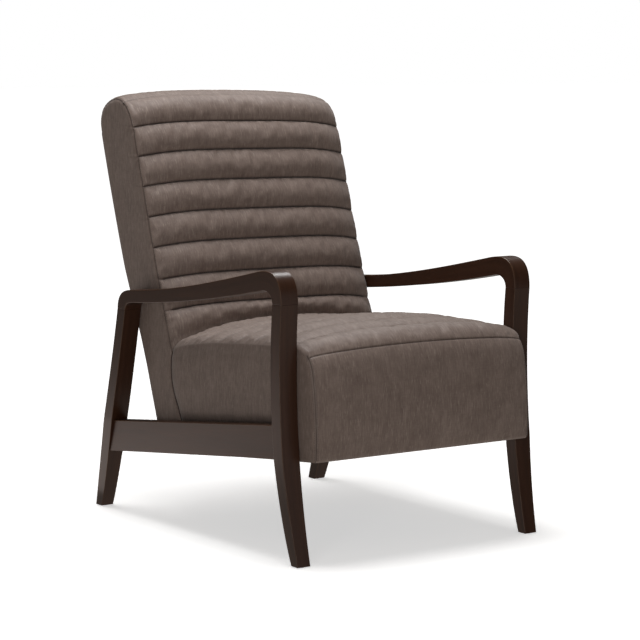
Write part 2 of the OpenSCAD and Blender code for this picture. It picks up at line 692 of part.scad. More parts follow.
module back_rail(index) {
    difference() {
        leaning() translate([-post_inner, rail_t, rail_places[index][0]])
            cube([2 * post_inner, rail_board, rail_places[index][1]]);
        back_dowel_set(glue_gap);
    }
}
module back_top_rail() { color(beech_colour) place() back_rail(0); }
module back_middle_rail() { color(beech_colour) place() back_rail(1); }
module back_bottom_rail() { color(beech_colour) place() back_rail(2); }
module back_rail_dowels() { color(beech_colour) place() back_dowel_set(0); }
post_bolt_length = board + post_width;
module post_bolts() {
    color(steel_colour) place() both_sides() at_post_bolts() {
        translate([0, 0, post_inner - 6]) cylinder(d = bolt_d, h = post_bolt_length + 5);
        translate([0, 0, post_inner - 5]) cylinder(d = 1.7 * bolt_d, h = 5, $fn = 6);
        translate([0, 0, box_half - post_head - 0.1]) cylinder(d = 2.2 * bolt_d, h = post_head);
    }
}
web_width = 50;
web_thickness = 2;
web_low_s = 40;
web_high_s = post_top_s - web_width - 10;
module back_webbing() {
    color(black_colour) place() leaning() for (k = [0:web_count - 1])
        translate([-post_outer, post_front_t - web_thickness, web_low_s + (web_high_s - web_low_s) * k / (web_count - 1)])
            cube([2 * post_outer, web_thickness, web_width]);
}
back_foam_t = 26;
back_foam_low = 40;
module back_foam() {
    color(foam_colour) place() leaning()
        translate([-post_outer, back_foam_t, back_foam_low])
            cube([2 * post_outer, post_front_t - web_thickness - fit_gap - back_foam_t, post_top_s - 2 - back_foam_low]);
}
panel_thickness = 5;
panel_half = body_half - 9;
panel_line = concat([[back_thickness, back_height - 62]], back_rear_path, [[back_low_t, -400]]);
module panel_profile(grow) {
    polygon(concat(
        [for (p = panel_line) to_world(p + [20 * grow, grow])],
        reversed([for (p = panel_line) to_world(p + [-panel_thickness - grow, grow])])));
}
module back_cover() {
    side = post_outer + fit_gap;
    color(cover_colour) place() difference() {
        loft(back_rings, back_insets, back_draw, true);
        leaning() translate([-side, back_foam_t - fit_gap, back_foam_low - fit_gap])
            cube([2 * side, post_rear_t + 40, post_top_s - back_foam_low + 2 * fit_gap]);
        leaning() translate([-side, post_front_t - web_thickness - 1, -400])
            cube([2 * side, post_rear_t, post_top_s + 400 + fit_gap]);
        across(-panel_half - fit_gap, panel_half + fit_gap) panel_profile(fit_gap);
        spacer_holes();
        deck() translate([-box_half - fit_gap, box_front_y, -20])
            cube([2 * (box_half + fit_gap), box_length + fit_gap, box_top + 23]);
    }
}
module outside_back_panel() {
    color(cover_colour) place() intersection() {
        across(-panel_half, panel_half) panel_profile(0);
        above_deck();
    }
}
dust_thickness = 1;
module dust_cover() {
    color(black_colour) place() deck()
        translate([-box_half + 4, box_front_y + 4, box_bottom - fit_gap - dust_thickness])
            cube([2 * box_half - 8, box_length - 8, dust_thickness]);
}

// Bolts that hold the body to the wooden sides
bolt_head_height = 6;
washer_thickness = 2;
washer_d = 24;
module frame_bolts() {
    color(steel_colour) place() both_sides() at_bolts() {
        translate([0, 0, post_outer - washer_thickness])
            cylinder(d = bolt_d, h = inner_half + insert_length - 3 - post_outer + washer_thickness);
        translate([0, 0, post_outer - washer_thickness - bolt_head_height])
            cylinder(d = 1.8 * bolt_d, h = bolt_head_height, $fn = 6);
    }
}
module bolt_washers() {
    color(steel_colour) place() both_sides() at_bolts()
        translate([0, 0, post_outer - washer_thickness]) difference() {
            cylinder(d = washer_d, h = washer_thickness);
            translate([0, 0, -1]) cylinder(d = bolt_d + 0.6, h = washer_thickness + 2);
        }
}
module frame_spacers() {
    color(beech_colour) place() both_sides() at_bolts() translate([0, 0, box_half]) difference() {
        cylinder(d = spacer_d, h = inner_half - box_half);
        translate([0, 0, -1]) cylinder(d = bolt_d + 0.6, h = inner_half - box_half + 2);
    }
}
module threaded_inserts() {
    color("#b8975a") place() both_sides() at_bolts() translate([0, 0, inner_half]) difference() {
        cylinder(d = insert_d, h = insert_length);
        translate([0, 0, -1]) cylinder(d = bolt_d + 0.2, h = insert_length - 1);
    }
}

left_arm();
right_arm();
left_front_leg();
right_front_leg();
left_rear_leg();
right_rear_leg();
left_side_rail();
right_side_rail();
arm_dowels();
rail_dowels();
foot_glides();
seat_left_board();
seat_right_board();
seat_front_board();
seat_rear_board();
corner_blocks();
seat_board_dowels();
seat_springs();
spring_clips();
deck_pad();
seat_foam();
seat_cover();
back_left_post();
back_right_post();
back_top_rail();
back_middle_rail();
back_bottom_rail();
back_rail_dowels();
post_bolts();
back_webbing();
back_foam();
back_cover();
outside_back_panel();
dust_cover();
frame_bolts();
bolt_washers();
frame_spacers();
threaded_inserts();
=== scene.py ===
# %% [markdown]
# # An upholstered lounge chair with bent wooden sides
# Two open sides of dark stained wood carry one upholstered body. Its deep seat and its leaning back are
# both sewn into crosswise channels, under a matt faux leather.
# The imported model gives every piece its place. This script rebuilds the wood with eased edges, sews and
# fills the covers, and gives each surface the finish of the real one.

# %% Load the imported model
import json
import math

import bmesh
import bpy
import numpy as np
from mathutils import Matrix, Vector
from mathutils.bvhtree import BVHTree
from mathutils.kdtree import KDTree


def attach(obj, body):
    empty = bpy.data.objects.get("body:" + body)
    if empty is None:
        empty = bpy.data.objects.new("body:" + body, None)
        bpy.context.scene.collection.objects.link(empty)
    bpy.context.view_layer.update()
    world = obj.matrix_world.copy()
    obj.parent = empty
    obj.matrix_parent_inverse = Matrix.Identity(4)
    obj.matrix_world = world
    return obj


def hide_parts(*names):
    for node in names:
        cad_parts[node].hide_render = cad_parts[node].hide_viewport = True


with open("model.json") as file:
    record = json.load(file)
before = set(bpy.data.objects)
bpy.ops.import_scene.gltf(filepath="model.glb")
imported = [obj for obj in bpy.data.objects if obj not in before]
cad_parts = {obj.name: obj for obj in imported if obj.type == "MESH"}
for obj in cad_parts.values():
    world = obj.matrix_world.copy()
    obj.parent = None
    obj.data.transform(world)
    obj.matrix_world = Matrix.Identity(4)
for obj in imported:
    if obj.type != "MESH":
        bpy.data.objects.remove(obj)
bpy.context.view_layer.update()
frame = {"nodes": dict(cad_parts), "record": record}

# %% [markdown]
# ## Sizes
# The sizes are those of the part's own source, in millimetres, so that what is sewn here lies on what is
# built there. Side profiles are drawn as y, z pairs, with y counted from the front of the front feet.
# The model's origin is under the middle of the chair, so one number moves the profiles there.

# %% Sizes of the chair, in millimetres
OVERALL_WIDTH = 660
BASE_LENGTH = 843
WOOD_WIDTH = 43
SIDE_GAP = 2
Y_MIDDLE = 424.749
HALF_WIDTH = OVERALL_WIDTH / 2
INNER_HALF = HALF_WIDTH - WOOD_WIDTH
BODY_HALF = INNER_HALF - SIDE_GAP
DECK_SLOPE = math.radians(6.5)
UNDERSIDE_Z = 219
RAIL_LIFT = 8
RAIL_HEIGHT = 71
RAIL_INSET = 7
print("room between the wooden sides:", 2 * INNER_HALF, "mm")


# %% [markdown]
# ## Curves
# A bent arm and a cushion's edge are both drawn with Bezier curves: two ends and two points that pull on
# them. A path of such curves is then read by its length in millimetres, as a tape measure would.

# %% Curve helpers
def bezier(p0, p1, p2, p3, count=48):
    t = np.linspace(0, 1, count + 1)[:, None]
    p0, p1, p2, p3 = (np.array(p, float) for p in (p0, p1, p2, p3))
    return (1 - t) ** 3 * p0 + 3 * (1 - t) ** 2 * t * p1 + 3 * (1 - t) * t * t * p2 + t ** 3 * p3


def joined(*parts):
    rows = np.array(parts[0], float)
    for part in parts[1:]:
        part = np.array(part, float)
        skip = 1 if np.allclose(rows[-1], part[0]) else 0
        rows = np.vstack([rows, part[skip:]])
    return rows


def run_of(path):
    return np.concatenate([[0], np.cumsum(np.linalg.norm(np.diff(path, axis=0), axis=1))])


def at_run(path, run):
    lengths = run_of(path)
    return np.stack([np.interp(run, lengths, path[:, axis]) for axis in range(path.shape[1])], -1)


def outward(path, run):
    step = at_run(path, run + 3) - at_run(path, run - 3)
    step /= np.linalg.norm(step, axis=-1, keepdims=True)
    return np.stack([-step[..., 1], step[..., 0]], -1)


def even(path, count):
    return at_run(path, np.linspace(0, run_of(path)[-1], count + 1))


def smooth_lookup(pairs, value):
    # A soft curve through the pairs, which never swings past them
    x, y = (np.array(column, float) for column in zip(*pairs))
    slope = np.diff(y) / np.diff(x)
    pull = np.zeros(len(x))
    for i in range(1, len(x) - 1):
        if slope[i - 1] * slope[i] > 0:
            pull[i] = 2 * slope[i - 1] * slope[i] / (slope[i - 1] + slope[i])
    pull[0], pull[-1] = slope[0], slope[-1]
    value = np.clip(value, x[0], x[-1])
    i = np.clip(np.searchsorted(x, value, side="right") - 1, 0, len(x) - 2)
    width = x[i + 1] - x[i]
    t = (value - x[i]) / width
    return (
        (2 * t ** 3 - 3 * t ** 2 + 1) * y[i] + (t ** 3 - 2 * t ** 2 + t) * width * pull[i]
        + (3 * t ** 2 - 2 * t ** 3) * y[i + 1] + (t ** 3 - t ** 2) * width * pull[i + 1]
    )


def underside(y):
    return UNDERSIDE_Z - math.tan(DECK_SLOPE) * y


def deck_height(z, y):
    # The height above y of a line that runs z above the underside, square to it
    return underside(y) + z / math.cos(DECK_SLOPE)


# %% Mesh helpers
def metres(points):
    points = np.array(points, float) / 1000
    points[:, 1] -= Y_MIDDLE / 1000
    return points


def grid_faces(rows, columns, first=0):
    # Quads between the points of a grid whose first point has the number first
    return [
        (a, a + 1, a + columns + 1, a + columns)
        for i in range(rows - 1) for a in range(first + i * columns, first + (i + 1) * columns - 1)]


def add_object(name, data):
    piece = bpy.data.objects.new(name, data)
    bpy.context.scene.collection.objects.link(piece)
    return piece


def discard(piece):
    mesh = piece.data
    bpy.data.objects.remove(piece)
    bpy.data.meshes.remove(mesh)


def turn_outward(mesh, merge=0.0):
    # Points closer than merge, in metres, become one, and every face is turned to look outwards
    shell = bmesh.new()
    shell.from_mesh(mesh)
    if merge:
        bmesh.ops.remove_doubles(shell, verts=shell.verts, dist=merge)
    bmesh.ops.recalc_face_normals(shell, faces=shell.faces)
    shell.to_mesh(mesh)
    shell.free()


def mesh_object(name, points, faces, merge=0.0):
    mesh = bpy.data.meshes.new(name)
    mesh.from_pydata([tuple(p) for p in metres(points)], [], faces)
    if merge:
        turn_outward(mesh, merge)
    mesh.polygons.foreach_set("use_smooth", [True] * len(mesh.polygons))
    return add_object(name, mesh)


def bake_modifiers(piece):
    depsgraph = bpy.context.evaluated_depsgraph_get()
    depsgraph.update()
    result = bpy.data.meshes.new_from_object(piece.evaluated_get(depsgraph), depsgraph=depsgraph)
    piece.modifiers.clear()
    old = piece.data
    result.name = piece.name
    piece.data = result
    bpy.data.meshes.remove(old)
    return piece


def dress(piece, material, *nodes):
    piece.data.materials.clear()
    piece.data.materials.append(material)
    if nodes:
        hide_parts(*nodes)
    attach(piece, "root")
    print(piece.name, len(piece.data.polygons), "faces")
    return piece


# %% [markdown]
# ## Camera
# The camera stands where the photographer stood: to the chair's front left and a little above the seat,
# far enough away for a long lens that keeps the upright lines nearly parallel.

# %% Camera
camera_data = bpy.data.cameras.new("camera")
camera_data.lens = 131.0
camera_data.sensor_width = 36
camera = add_object("camera", camera_data)
camera.location = (-2.963, -4.3049, 1.0497)
camera.rotation_euler = (math.radians(90 - 6.4981), 0, math.radians(-34.8271))
bpy.context.scene.camera = camera
print("camera stands", round(camera.location.length, 2), "m from the chair")


# %% [markdown]
# ## Colours and nodes
# Paint shops and screens name colours as sRGB hex values, while the renderer adds up light, which needs
# linear numbers. One function turns the first into the second. Another adds a shader node, sets it and
# links it in one call, so that a finish reads from top to bottom.

# %% Colour and node helpers
def linear(hex_value):
    parts = [int(hex_value[i:i + 2], 16) / 255 for i in (1, 3, 5)]
    return tuple(c / 12.92 if c <= 0.04045 else ((c + 0.055) / 1.055) ** 2.4 for c in parts) + (1.0,)


def add_node(tree, kind, settings=None, inputs=None):
    node = tree.nodes.new(kind)
    for key, value in (settings or {}).items():
        setattr(node, key, value)
    for key, value in (inputs or {}).items():
        if hasattr(value, "is_output"):
            tree.links.new(value, node.inputs[key])
        else:
            node.inputs[key].default_value = value
    return node


def new_finish(name):
    material = bpy.data.materials.new(name)
    material.use_nodes = True
    tree = material.node_tree
    tree.nodes.clear()
    output = add_node(tree, "ShaderNodeOutputMaterial")
    shader = add_node(tree, "ShaderNodeBsdfPrincipled")
    tree.links.new(shader.outputs["BSDF"], output.inputs["Surface"])
    place = add_node(tree, "ShaderNodeTexCoord")
    return material, tree, shader, place.outputs["Object"]


def ramp(tree, value, stops):
    node = add_node(tree, "ShaderNodeValToRGB", inputs={0: value})
    edges = node.color_ramp.elements
    while len(edges) < len(stops):
        edges.new(0.5)
    for edge, (position, colour) in zip(edges, stops):
        edge.position = position
        edge.color = linear(colour)
    return node.outputs["Color"]


# %% [markdown]
# ## Finish: stained beech
# The sides are beech or a wood like it, stained nearly black-brown and lacquered satin. The stain hides
# most of the grain: what shows is fine, slightly darker pores along the piece, a broad drift of tone and
# a soft, milky sheen where light falls on a bend. The grain has to run along each bent piece, so each
# piece carries its own grain coordinates, measured along its curve.

# %% Stained beech, satin lacquer
def stained_wood():
    material, tree, shader, _ = new_finish("stained_beech_satin_lacquer")
    grain = add_node(tree, "ShaderNodeAttribute", {"attribute_name": "grain"}).outputs["Vector"]
    # Pores are about 1 mm wide and 30 mm long, coarser than beech's own so that they show
    pores = add_node(tree, "ShaderNodeMapping", inputs={"Vector": grain, "Scale": (35, 900, 900)})
    pore_noise = add_node(tree, "ShaderNodeTexNoise", inputs={
        "Vector": pores.outputs[0], "Scale": 1.0, "Detail": 4.0, "Roughness": 0.65})
    # Growth rings drift across the piece every 15 mm or so
    drift = add_node(tree, "ShaderNodeMapping", inputs={"Vector": grain, "Scale": (3, 70, 70)})
    drift_noise = add_node(tree, "ShaderNodeTexNoise", inputs={
        "Vector": drift.outputs[0], "Scale": 1.0, "Detail": 3.0, "Roughness": 0.5, "Distortion": 0.4})
    tone = add_node(tree, "ShaderNodeMath", {"operation": "MULTIPLY_ADD"}, {
        0: pore_noise.outputs["Fac"], 1: 0.45, 2: 0.0})
    total = add_node(tree, "ShaderNodeMath", {"operation": "MULTIPLY_ADD"}, {
        0: drift_noise.outputs["Fac"], 1: 0.55, 2: tone.outputs[0]})
    colour = ramp(tree, total.outputs[0], [(0.28, "#301a0e"), (0.5, "#3c2315"), (0.74, "#492d1e")])
    # Along the eased edges the stain is painted lighter in patches: partly wear, where hands and cloths have
    # rubbed it, and partly a painted highlight, where the edges catch the light
    section = add_node(tree, "ShaderNodeAttribute", {"attribute_name": "section"}).outputs["Vector"]
    split = add_node(tree, "ShaderNodeSeparateXYZ", inputs={0: section})
    nearness = []
    for axis in ("X", "Y"):
        centred = add_node(tree, "ShaderNodeMath", {"operation": "SUBTRACT"}, {
            0: split.outputs[axis], 1: 0.5})
        nearness.append(add_node(tree, "ShaderNodeMath", {"operation": "ABSOLUTE"}, {0: centred.outputs[0]}))
    corner = add_node(tree, "ShaderNodeMath", {"operation": "MINIMUM"}, {
        0: nearness[0].outputs[0], 1: nearness[1].outputs[0]})
    edge_wear_and_highlight = add_node(tree, "ShaderNodeMapRange", {"interpolation_type": "SMOOTHSTEP"}, {
        "Value": corner.outputs[0], "From Min": 0.455, "From Max": 0.495, "To Min": 0.0, "To Max": 0.55})
    patchy_wear_and_highlight = add_node(tree, "ShaderNodeMath", {"operation": "MULTIPLY"}, {
        0: edge_wear_and_highlight.outputs[0], 1: drift_noise.outputs["Fac"]})
    worn_and_highlighted = add_node(tree, "ShaderNodeMix", {"data_type": "RGBA"}, {
        0: patchy_wear_and_highlight.outputs[0], 6: colour, 7: linear("#7b6046")})
    tree.links.new(worn_and_highlighted.outputs[2], shader.inputs["Base Color"])
    rough = add_node(tree, "ShaderNodeMapRange", inputs={
        "Value": pore_noise.outputs["Fac"], "From Min": 0.3, "From Max": 0.7, "To Min": 0.31, "To Max": 0.37})
    tree.links.new(rough.outputs[0], shader.inputs["Roughness"])
    bump = add_node(tree, "ShaderNodeBump", inputs={
        "Strength": 0.07, "Distance": 0.0004, "Height": pore_noise.outputs["Fac"]})
    tree.links.new(bump.outputs[0], shader.inputs["Normal"])
    shader.inputs["IOR"].default_value = 1.48
    shader.inputs["Specular IOR Level"].default_value = 0.4
    return material


wood_finish = stained_wood()
print("made", wood_finish.name)


# %% [markdown]
# ## Finish: brushed faux leather
# The cover is a coated cloth, embossed and brushed to look like nubuck. Its tone breaks up into fine
# streaks that run from top to bottom of each panel, over wider, softer clouds. It is matt, with a light
# bloom at grazing angles. In the seams the cloth turns inwards and looks darker, and shade is painted into
# its colour there, where seat and back meet and above the rail.

# %% Brushed faux leather, taupe
def faux_leather():
    material, tree, shader, place = new_finish("brushed_faux_leather_taupe")
    facing = add_node(tree, "ShaderNodeNewGeometry").outputs["Normal"]
    split = add_node(tree, "ShaderNodeSeparateXYZ", inputs={0: facing})
    sideways = add_node(tree, "ShaderNodeMath", {"operation": "ABSOLUTE"}, {0: split.outputs["X"]})
    on_side = add_node(tree, "ShaderNodeMapRange", inputs={
        "Value": sideways.outputs[0], "From Min": 0.55, "From Max": 0.85, "To Min": 0.0, "To Max": 1.0})

    def streaks(width_mm, length_mm, detail):
        # A streak is narrow across the panel and long down it; side panels face along X instead
        fine, coarse = 1000 / width_mm, 1000 / length_mm
        front = add_node(tree, "ShaderNodeMapping", inputs={
            "Vector": place, "Scale": (fine, coarse, coarse)})
        side = add_node(tree, "ShaderNodeMapping", inputs={
            "Vector": place, "Scale": (coarse, fine, coarse)})
        pick = add_node(tree, "ShaderNodeMix", {"data_type": "VECTOR"}, {
            0: on_side.outputs[0], 4: front.outputs[0], 5: side.outputs[0]})
        return add_node(tree, "ShaderNodeTexNoise", inputs={
            "Vector": pick.outputs[1], "Scale": 1.0, "Detail": detail, "Roughness": 0.6}).outputs["Fac"]

    fine_streak = streaks(2.4, 20, 3.0)
    broad_streak = streaks(9, 60, 2.0)
    slub = streaks(16, 1.9, 2.0)
    fleck = add_node(tree, "ShaderNodeMapRange", {"interpolation_type": "SMOOTHSTEP"}, {
        "Value": streaks(1.9, 17, 1.0), "From Min": 0.58, "From Max": 0.72, "To Min": 0.0, "To Max": 0.5})
    cloud = add_node(tree, "ShaderNodeTexNoise", inputs={
        "Vector": place, "Scale": 30.0, "Detail": 5.0, "Roughness": 0.65}).outputs["Fac"]
    total = add_node(tree, "ShaderNodeMath", {"operation": "MULTIPLY"}, {0: fine_streak, 1: 0.31})
    for layer, share in ((broad_streak, 0.2), (slub, 0.15), (cloud, 0.34)):
        total = add_node(tree, "ShaderNodeMath", {"operation": "MULTIPLY_ADD"}, {
            0: layer, 1: share, 2: total.outputs[0]})
    ground = ramp(tree, total.outputs[0], [(0.38, "#6c5b53"), (0.5, "#79685f"), (0.62, "#87766d")])
    # Here and there a brushed fibre catches the light as a short upright fleck
    flecked = add_node(tree, "ShaderNodeMix", {"data_type": "RGBA"}, {
        0: fleck.outputs[0], 6: ground, 7: linear("#9c8d83")})
    colour = flecked.outputs[2]
    # Painted shade: the seam attribute darkens the cloth in the seams, where seat and back meet at their
    # sides and just above the rail's top edge
    seam = add_node(tree, "ShaderNodeAttribute", {"attribute_name": "seam"}).outputs["Fac"]
    shaded = add_node(tree, "ShaderNodeMix", {"data_type": "RGBA", "blend_type": "MULTIPLY"}, {
        0: seam, 6: colour, 7: linear("#4d3527")})
    tree.links.new(shaded.outputs[2], shader.inputs["Base Color"])
    # The emboss is a pebble of about 1.25 mm
    pebble = add_node(tree, "ShaderNodeTexVoronoi", {"feature": "SMOOTH_F1"}, {
        "Vector": place, "Scale": 1000 / 1.25, "Smoothness": 0.6})
    rough = add_node(tree, "ShaderNodeMapRange", inputs={
        "Value": fine_streak, "From Min": 0.3, "From Max": 0.7, "To Min": 0.7, "To Max": 0.58})
    tree.links.new(rough.outputs[0], shader.inputs["Roughness"])
    grain = add_node(tree, "ShaderNodeBump", inputs={
        "Strength": 0.2, "Distance": 0.0003, "Height": pebble.outputs["Distance"]})
    brushed = add_node(tree, "ShaderNodeBump", inputs={
        "Strength": 0.25, "Distance": 0.0006, "Height": fine_streak, "Normal": grain.outputs[0]})
    tree.links.new(brushed.outputs[0], shader.inputs["Normal"])
    shader.inputs["IOR"].default_value = 1.48
    shader.inputs["Sheen Weight"].default_value = 0.15
    shader.inputs["Sheen Roughness"].default_value = 0.5
    return material


cover_finish = faux_leather()
print("made", cover_finish.name)


# %% [markdown]
# ## Finishes of the inner pieces
# Under the covers there are planed beech, zinc-plated steel, yellow foam, grey felt, black woven webbing
# and a black spun cloth. They are hidden in daily use, and each still gets its own small pattern.

# %% Inner finishes
def simple_finish(
        name, low, high, cell_mm, rough, stretch=(1, 1, 1), metallic=0.0, bump=0.2, depth=0.0003):
    material, tree, shader, place = new_finish(name)
    scale = tuple(1000 / cell_mm / s for s in stretch)
    spread = add_node(tree, "ShaderNodeMapping", inputs={"Vector": place, "Scale": scale})
    noise = add_node(tree, "ShaderNodeTexNoise", inputs={
        "Vector": spread.outputs[0], "Scale": 1.0, "Detail": 4.0, "Roughness": 0.6}).outputs["Fac"]
    tree.links.new(ramp(tree, noise, [(0.3, low), (0.7, high)]), shader.inputs["Base Color"])
    grain = add_node(tree, "ShaderNodeBump", inputs={"Strength": bump, "Distance": depth, "Height": noise})
    tree.links.new(grain.outputs[0], shader.inputs["Normal"])
    shader.inputs["Roughness"].default_value = rough
    shader.inputs["Metallic"].default_value = metallic
    return material


beech_finish = simple_finish("planed_beech", "#b98f5c", "#d6b484", 3, 0.6, (8, 30, 8))
steel_finish = simple_finish("zinc_plated_steel", "#85888b", "#b4b7ba", 6, 0.34, metallic=1.0, bump=0.05)
foam_finish = simple_finish("polyurethane_foam", "#d9cb9b", "#efe4bd", 1.2, 0.95, bump=0.6, depth=0.0006)
felt_finish = simple_finish("needled_grey_felt", "#5f5a55", "#8b857d", 1.5, 0.95, bump=0.5, depth=0.0005)
web_finish = simple_finish("black_woven_webbing", "#1b1b1e", "#34343a", 1.4, 0.8, (3, 1, 1), bump=0.5)
cambric_finish = simple_finish("black_spun_cloth", "#17171a", "#2c2c30", 1.0, 0.9, bump=0.4)
plastic_finish = simple_finish("black_nylon_glide", "#1a1a1c", "#28282b", 2, 0.45, bump=0.1)
brass_finish = simple_finish("turned_brass", "#a8854a", "#cbaa68", 2, 0.3, metallic=1.0, bump=0.05)
thread_finish = simple_finish("bonded_polyester_thread", "#453a35", "#5a4d47", 0.6, 0.6)
print("made the inner finishes")

# %% Hand the inner finishes to the solids that stay
keep_finishes = {
    "beech_wood": beech_finish, "zinc_steel": steel_finish, "black_plastic": plastic_finish,
    "yellow_brass": brass_finish, "dark_wood": wood_finish,
}
for part in frame["record"]["subparts"]:
    finish = keep_finishes.get(part["material_slot"])
    solid = frame["nodes"][part["node"]]
    if finish is not None:
        solid.data.materials.clear()
        solid.data.materials.append(finish)
print("solids that stay got their finishes")

# %% [markdown]
# ## The wooden sides
# Each arm is a plank bent at both ends, and each leg a curved, tapering bar. All of them have the same
# form: two long edges seen from the side, a ladder of faces between them, and a width across the chair.
# The long edges are eased by a bevel. Where an arm meets a leg the ends are eased half as much, which
# leaves the thin line that such a joint shows. The bevel follows a weight stored on each mesh edge.

# %% Side profile of the legs
FRONT_SET_BACK = 44
FRONT_JOINT_Z = 541
FRONT_BOW = 14
FRONT_DEPTH = 33
FRONT_FOOT_DEPTH = 25
FRONT_FOOT_WIDTH = 32
REAR_JOINT_Y = 679
REAR_JOINT_Z = 476
REAR_DEPTH = 34
REAR_FOOT_DEPTH = 27
REAR_FOOT_WIDTH = 31
TAPER_Z = 215
GLIDE_HEIGHT = 1.5
front_top = np.array([FRONT_SET_BACK, FRONT_JOINT_Z])
rear_top = np.array([REAR_JOINT_Y, REAR_JOINT_Z])
front_leg_front = bezier(
    [0, GLIDE_HEIGHT], [FRONT_SET_BACK + 2, 0.35 * FRONT_JOINT_Z],
    [FRONT_SET_BACK + FRONT_BOW, 0.684 * FRONT_JOINT_Z], front_top)
front_leg_rear = bezier(
    [FRONT_FOOT_DEPTH, GLIDE_HEIGHT],
    [FRONT_SET_BACK + FRONT_DEPTH - FRONT_BOW / 2, 0.222 * FRONT_JOINT_Z],
    [FRONT_SET_BACK + FRONT_DEPTH + 1.5 * FRONT_BOW, 0.647 * FRONT_JOINT_Z], front_top + [FRONT_DEPTH, 0])
REAR_TOE = BASE_LENGTH - REAR_FOOT_DEPTH
REAR_KICK = BASE_LENGTH - REAR_JOINT_Y
rear_leg_front = bezier(
    [REAR_TOE, GLIDE_HEIGHT], [REAR_TOE - 0.31 * REAR_KICK, 0.252 * REAR_JOINT_Z],
    [REAR_JOINT_Y + 0.24 * REAR_KICK, 0.65 * REAR_JOINT_Z], rear_top)
rear_leg_rear = bezier(
    [BASE_LENGTH, GLIDE_HEIGHT], [BASE_LENGTH - 0.21 * REAR_KICK, 0.252 * REAR_JOINT_Z],
    [REAR_JOINT_Y + REAR_DEPTH + 0.2 * REAR_KICK, 0.69 * REAR_JOINT_Z], rear_top + [REAR_DEPTH, 0])
print("leg edges:", len(front_leg_front), "points each")

# %% Side profile of the arm
ARM_RISE = 66
ARM_FRONT_THICKNESS = 41
ARM_REAR_RISE = 46
ARM_REAR_THICKNESS = 28
BEND_REACH = 56
apex = front_top + [BEND_REACH, ARM_RISE]
shoulder = apex + [40, -5]
heel_top = rear_top + [REAR_DEPTH - 53, ARM_REAR_RISE]
heel_under = rear_top + [-29, ARM_REAR_RISE - ARM_REAR_THICKNESS]
bend_under = front_top + [FRONT_DEPTH + 35, ARM_RISE - ARM_FRONT_THICKNESS]
top_run = heel_top - shoulder
under_run = bend_under - heel_under
arm_top = joined(
    bezier(front_top, front_top + [0, 0.667 * ARM_RISE], apex - [0.68 * BEND_REACH, 0], apex),
    bezier(apex, apex + [15, 0], shoulder + [-12, 2.5], shoulder),
    bezier(shoulder, shoulder + top_run * [0.31, 0.41], heel_top - top_run * [0.35, 0.15], heel_top),
    bezier(heel_top, heel_top + [35, -3], rear_top + [REAR_DEPTH - 1, 29], rear_top + [REAR_DEPTH, 0]))
arm_under = joined(
    bezier(front_top + [FRONT_DEPTH, 0], front_top + [FRONT_DEPTH + 2, 19],
           bend_under + [-17, 2], bend_under),
    bezier(bend_under, bend_under - under_run * [0.35, 0.51],
           heel_under + under_run * [0.28, 0.15], heel_under),
    bezier(heel_under, heel_under + [18, -1.5], rear_top + [-2, 13], rear_top))
print("arm is", round(run_of(arm_top)[-1]), "mm long over its top")

# %% A bar between two long edges
EASED_EDGE = 1.4
BEVEL_STEPS = 3
# Ends are eased less than long edges, as shares of the bevel's width
FOOT_EASE = 0.3
JOINT_EASE = 0.5
# The grain of the right side is read from another part of the pattern than that of the left
GRAIN_SHIFT = 0.7
ARM_STEPS = 150
LEG_STEPS = 60
RAIL_STEPS = 24


def bar(name, first_edge, second_edge, outer_x, end_weights, count, side):
    # outer_x gives the outer face's distance from the middle at a height z
    first, second = even(first_edge, count), even(second_edge, count)
    run = np.linspace(0, run_of(first_edge)[-1], count + 1)
    points, grain, section = [], [], []
    for i in range(count + 1):
        for (y, z), depth in ((first[i], 0), (second[i], 1)):
            for x in (INNER_HALF, outer_x(z)):
                points.append((side * x, y, z))
                grain.append((run[i] / 1000, depth * 0.035, x / 1000 + GRAIN_SHIFT * (side > 0)))
                section.append((depth, 0 if x == INNER_HALF else 1, 0))
    faces = []
    for i in range(count):
        a, b = 4 * i, 4 * i + 4
        faces += [
            (a, a + 1, b + 1, b), (a + 2, b + 2, b + 3, a + 3),
            (a, b, b + 2, a + 2), (a + 1, a + 3, b + 3, b + 1)]
    last = 4 * count
    faces += [(0, 2, 3, 1), (last, last + 1, last + 3, last + 2)]
    piece = mesh_object(name, points, faces)
    mesh = piece.data
    turn_outward(mesh)
    for label, vectors in (("grain", grain), ("section", section)):
        attribute = mesh.attributes.new(label, "FLOAT_VECTOR", "POINT")
        attribute.data.foreach_set("vector", np.array(vectors, np.float32).ravel())
    weights = mesh.attributes.new("bevel_weight_edge", "FLOAT", "EDGE")
    for edge in mesh.edges:
        i, j = sorted(edge.vertices)
        if j - i == 4:
            weights.data[edge.index].value = 1.0
        elif j < 4:
            weights.data[edge.index].value = end_weights[0]
        elif i >= last:
            weights.data[edge.index].value = end_weights[1]
    bevel = piece.modifiers.new("eased edges", "BEVEL")
    bevel.limit_method = "WEIGHT"
    bevel.width = EASED_EDGE / 1000
    bevel.segments = BEVEL_STEPS
    bake_modifiers(piece)
    piece.data.set_sharp_from_angle(angle=math.radians(40))
    # The wide faces keep their own direction in the shading, so the bar looks planed and not turned
    flat = piece.modifiers.new("planed faces", "WEIGHTED_NORMAL")
    flat.keep_sharp = True
    bake_modifiers(piece)
    return piece


def straight_side(z):
    return HALF_WIDTH


def tapered_side(foot_width):
    def outer_x(z):
        return min(HALF_WIDTH, INNER_HALF + foot_width + (WOOD_WIDTH - foot_width) * z / TAPER_Z)
    return outer_x


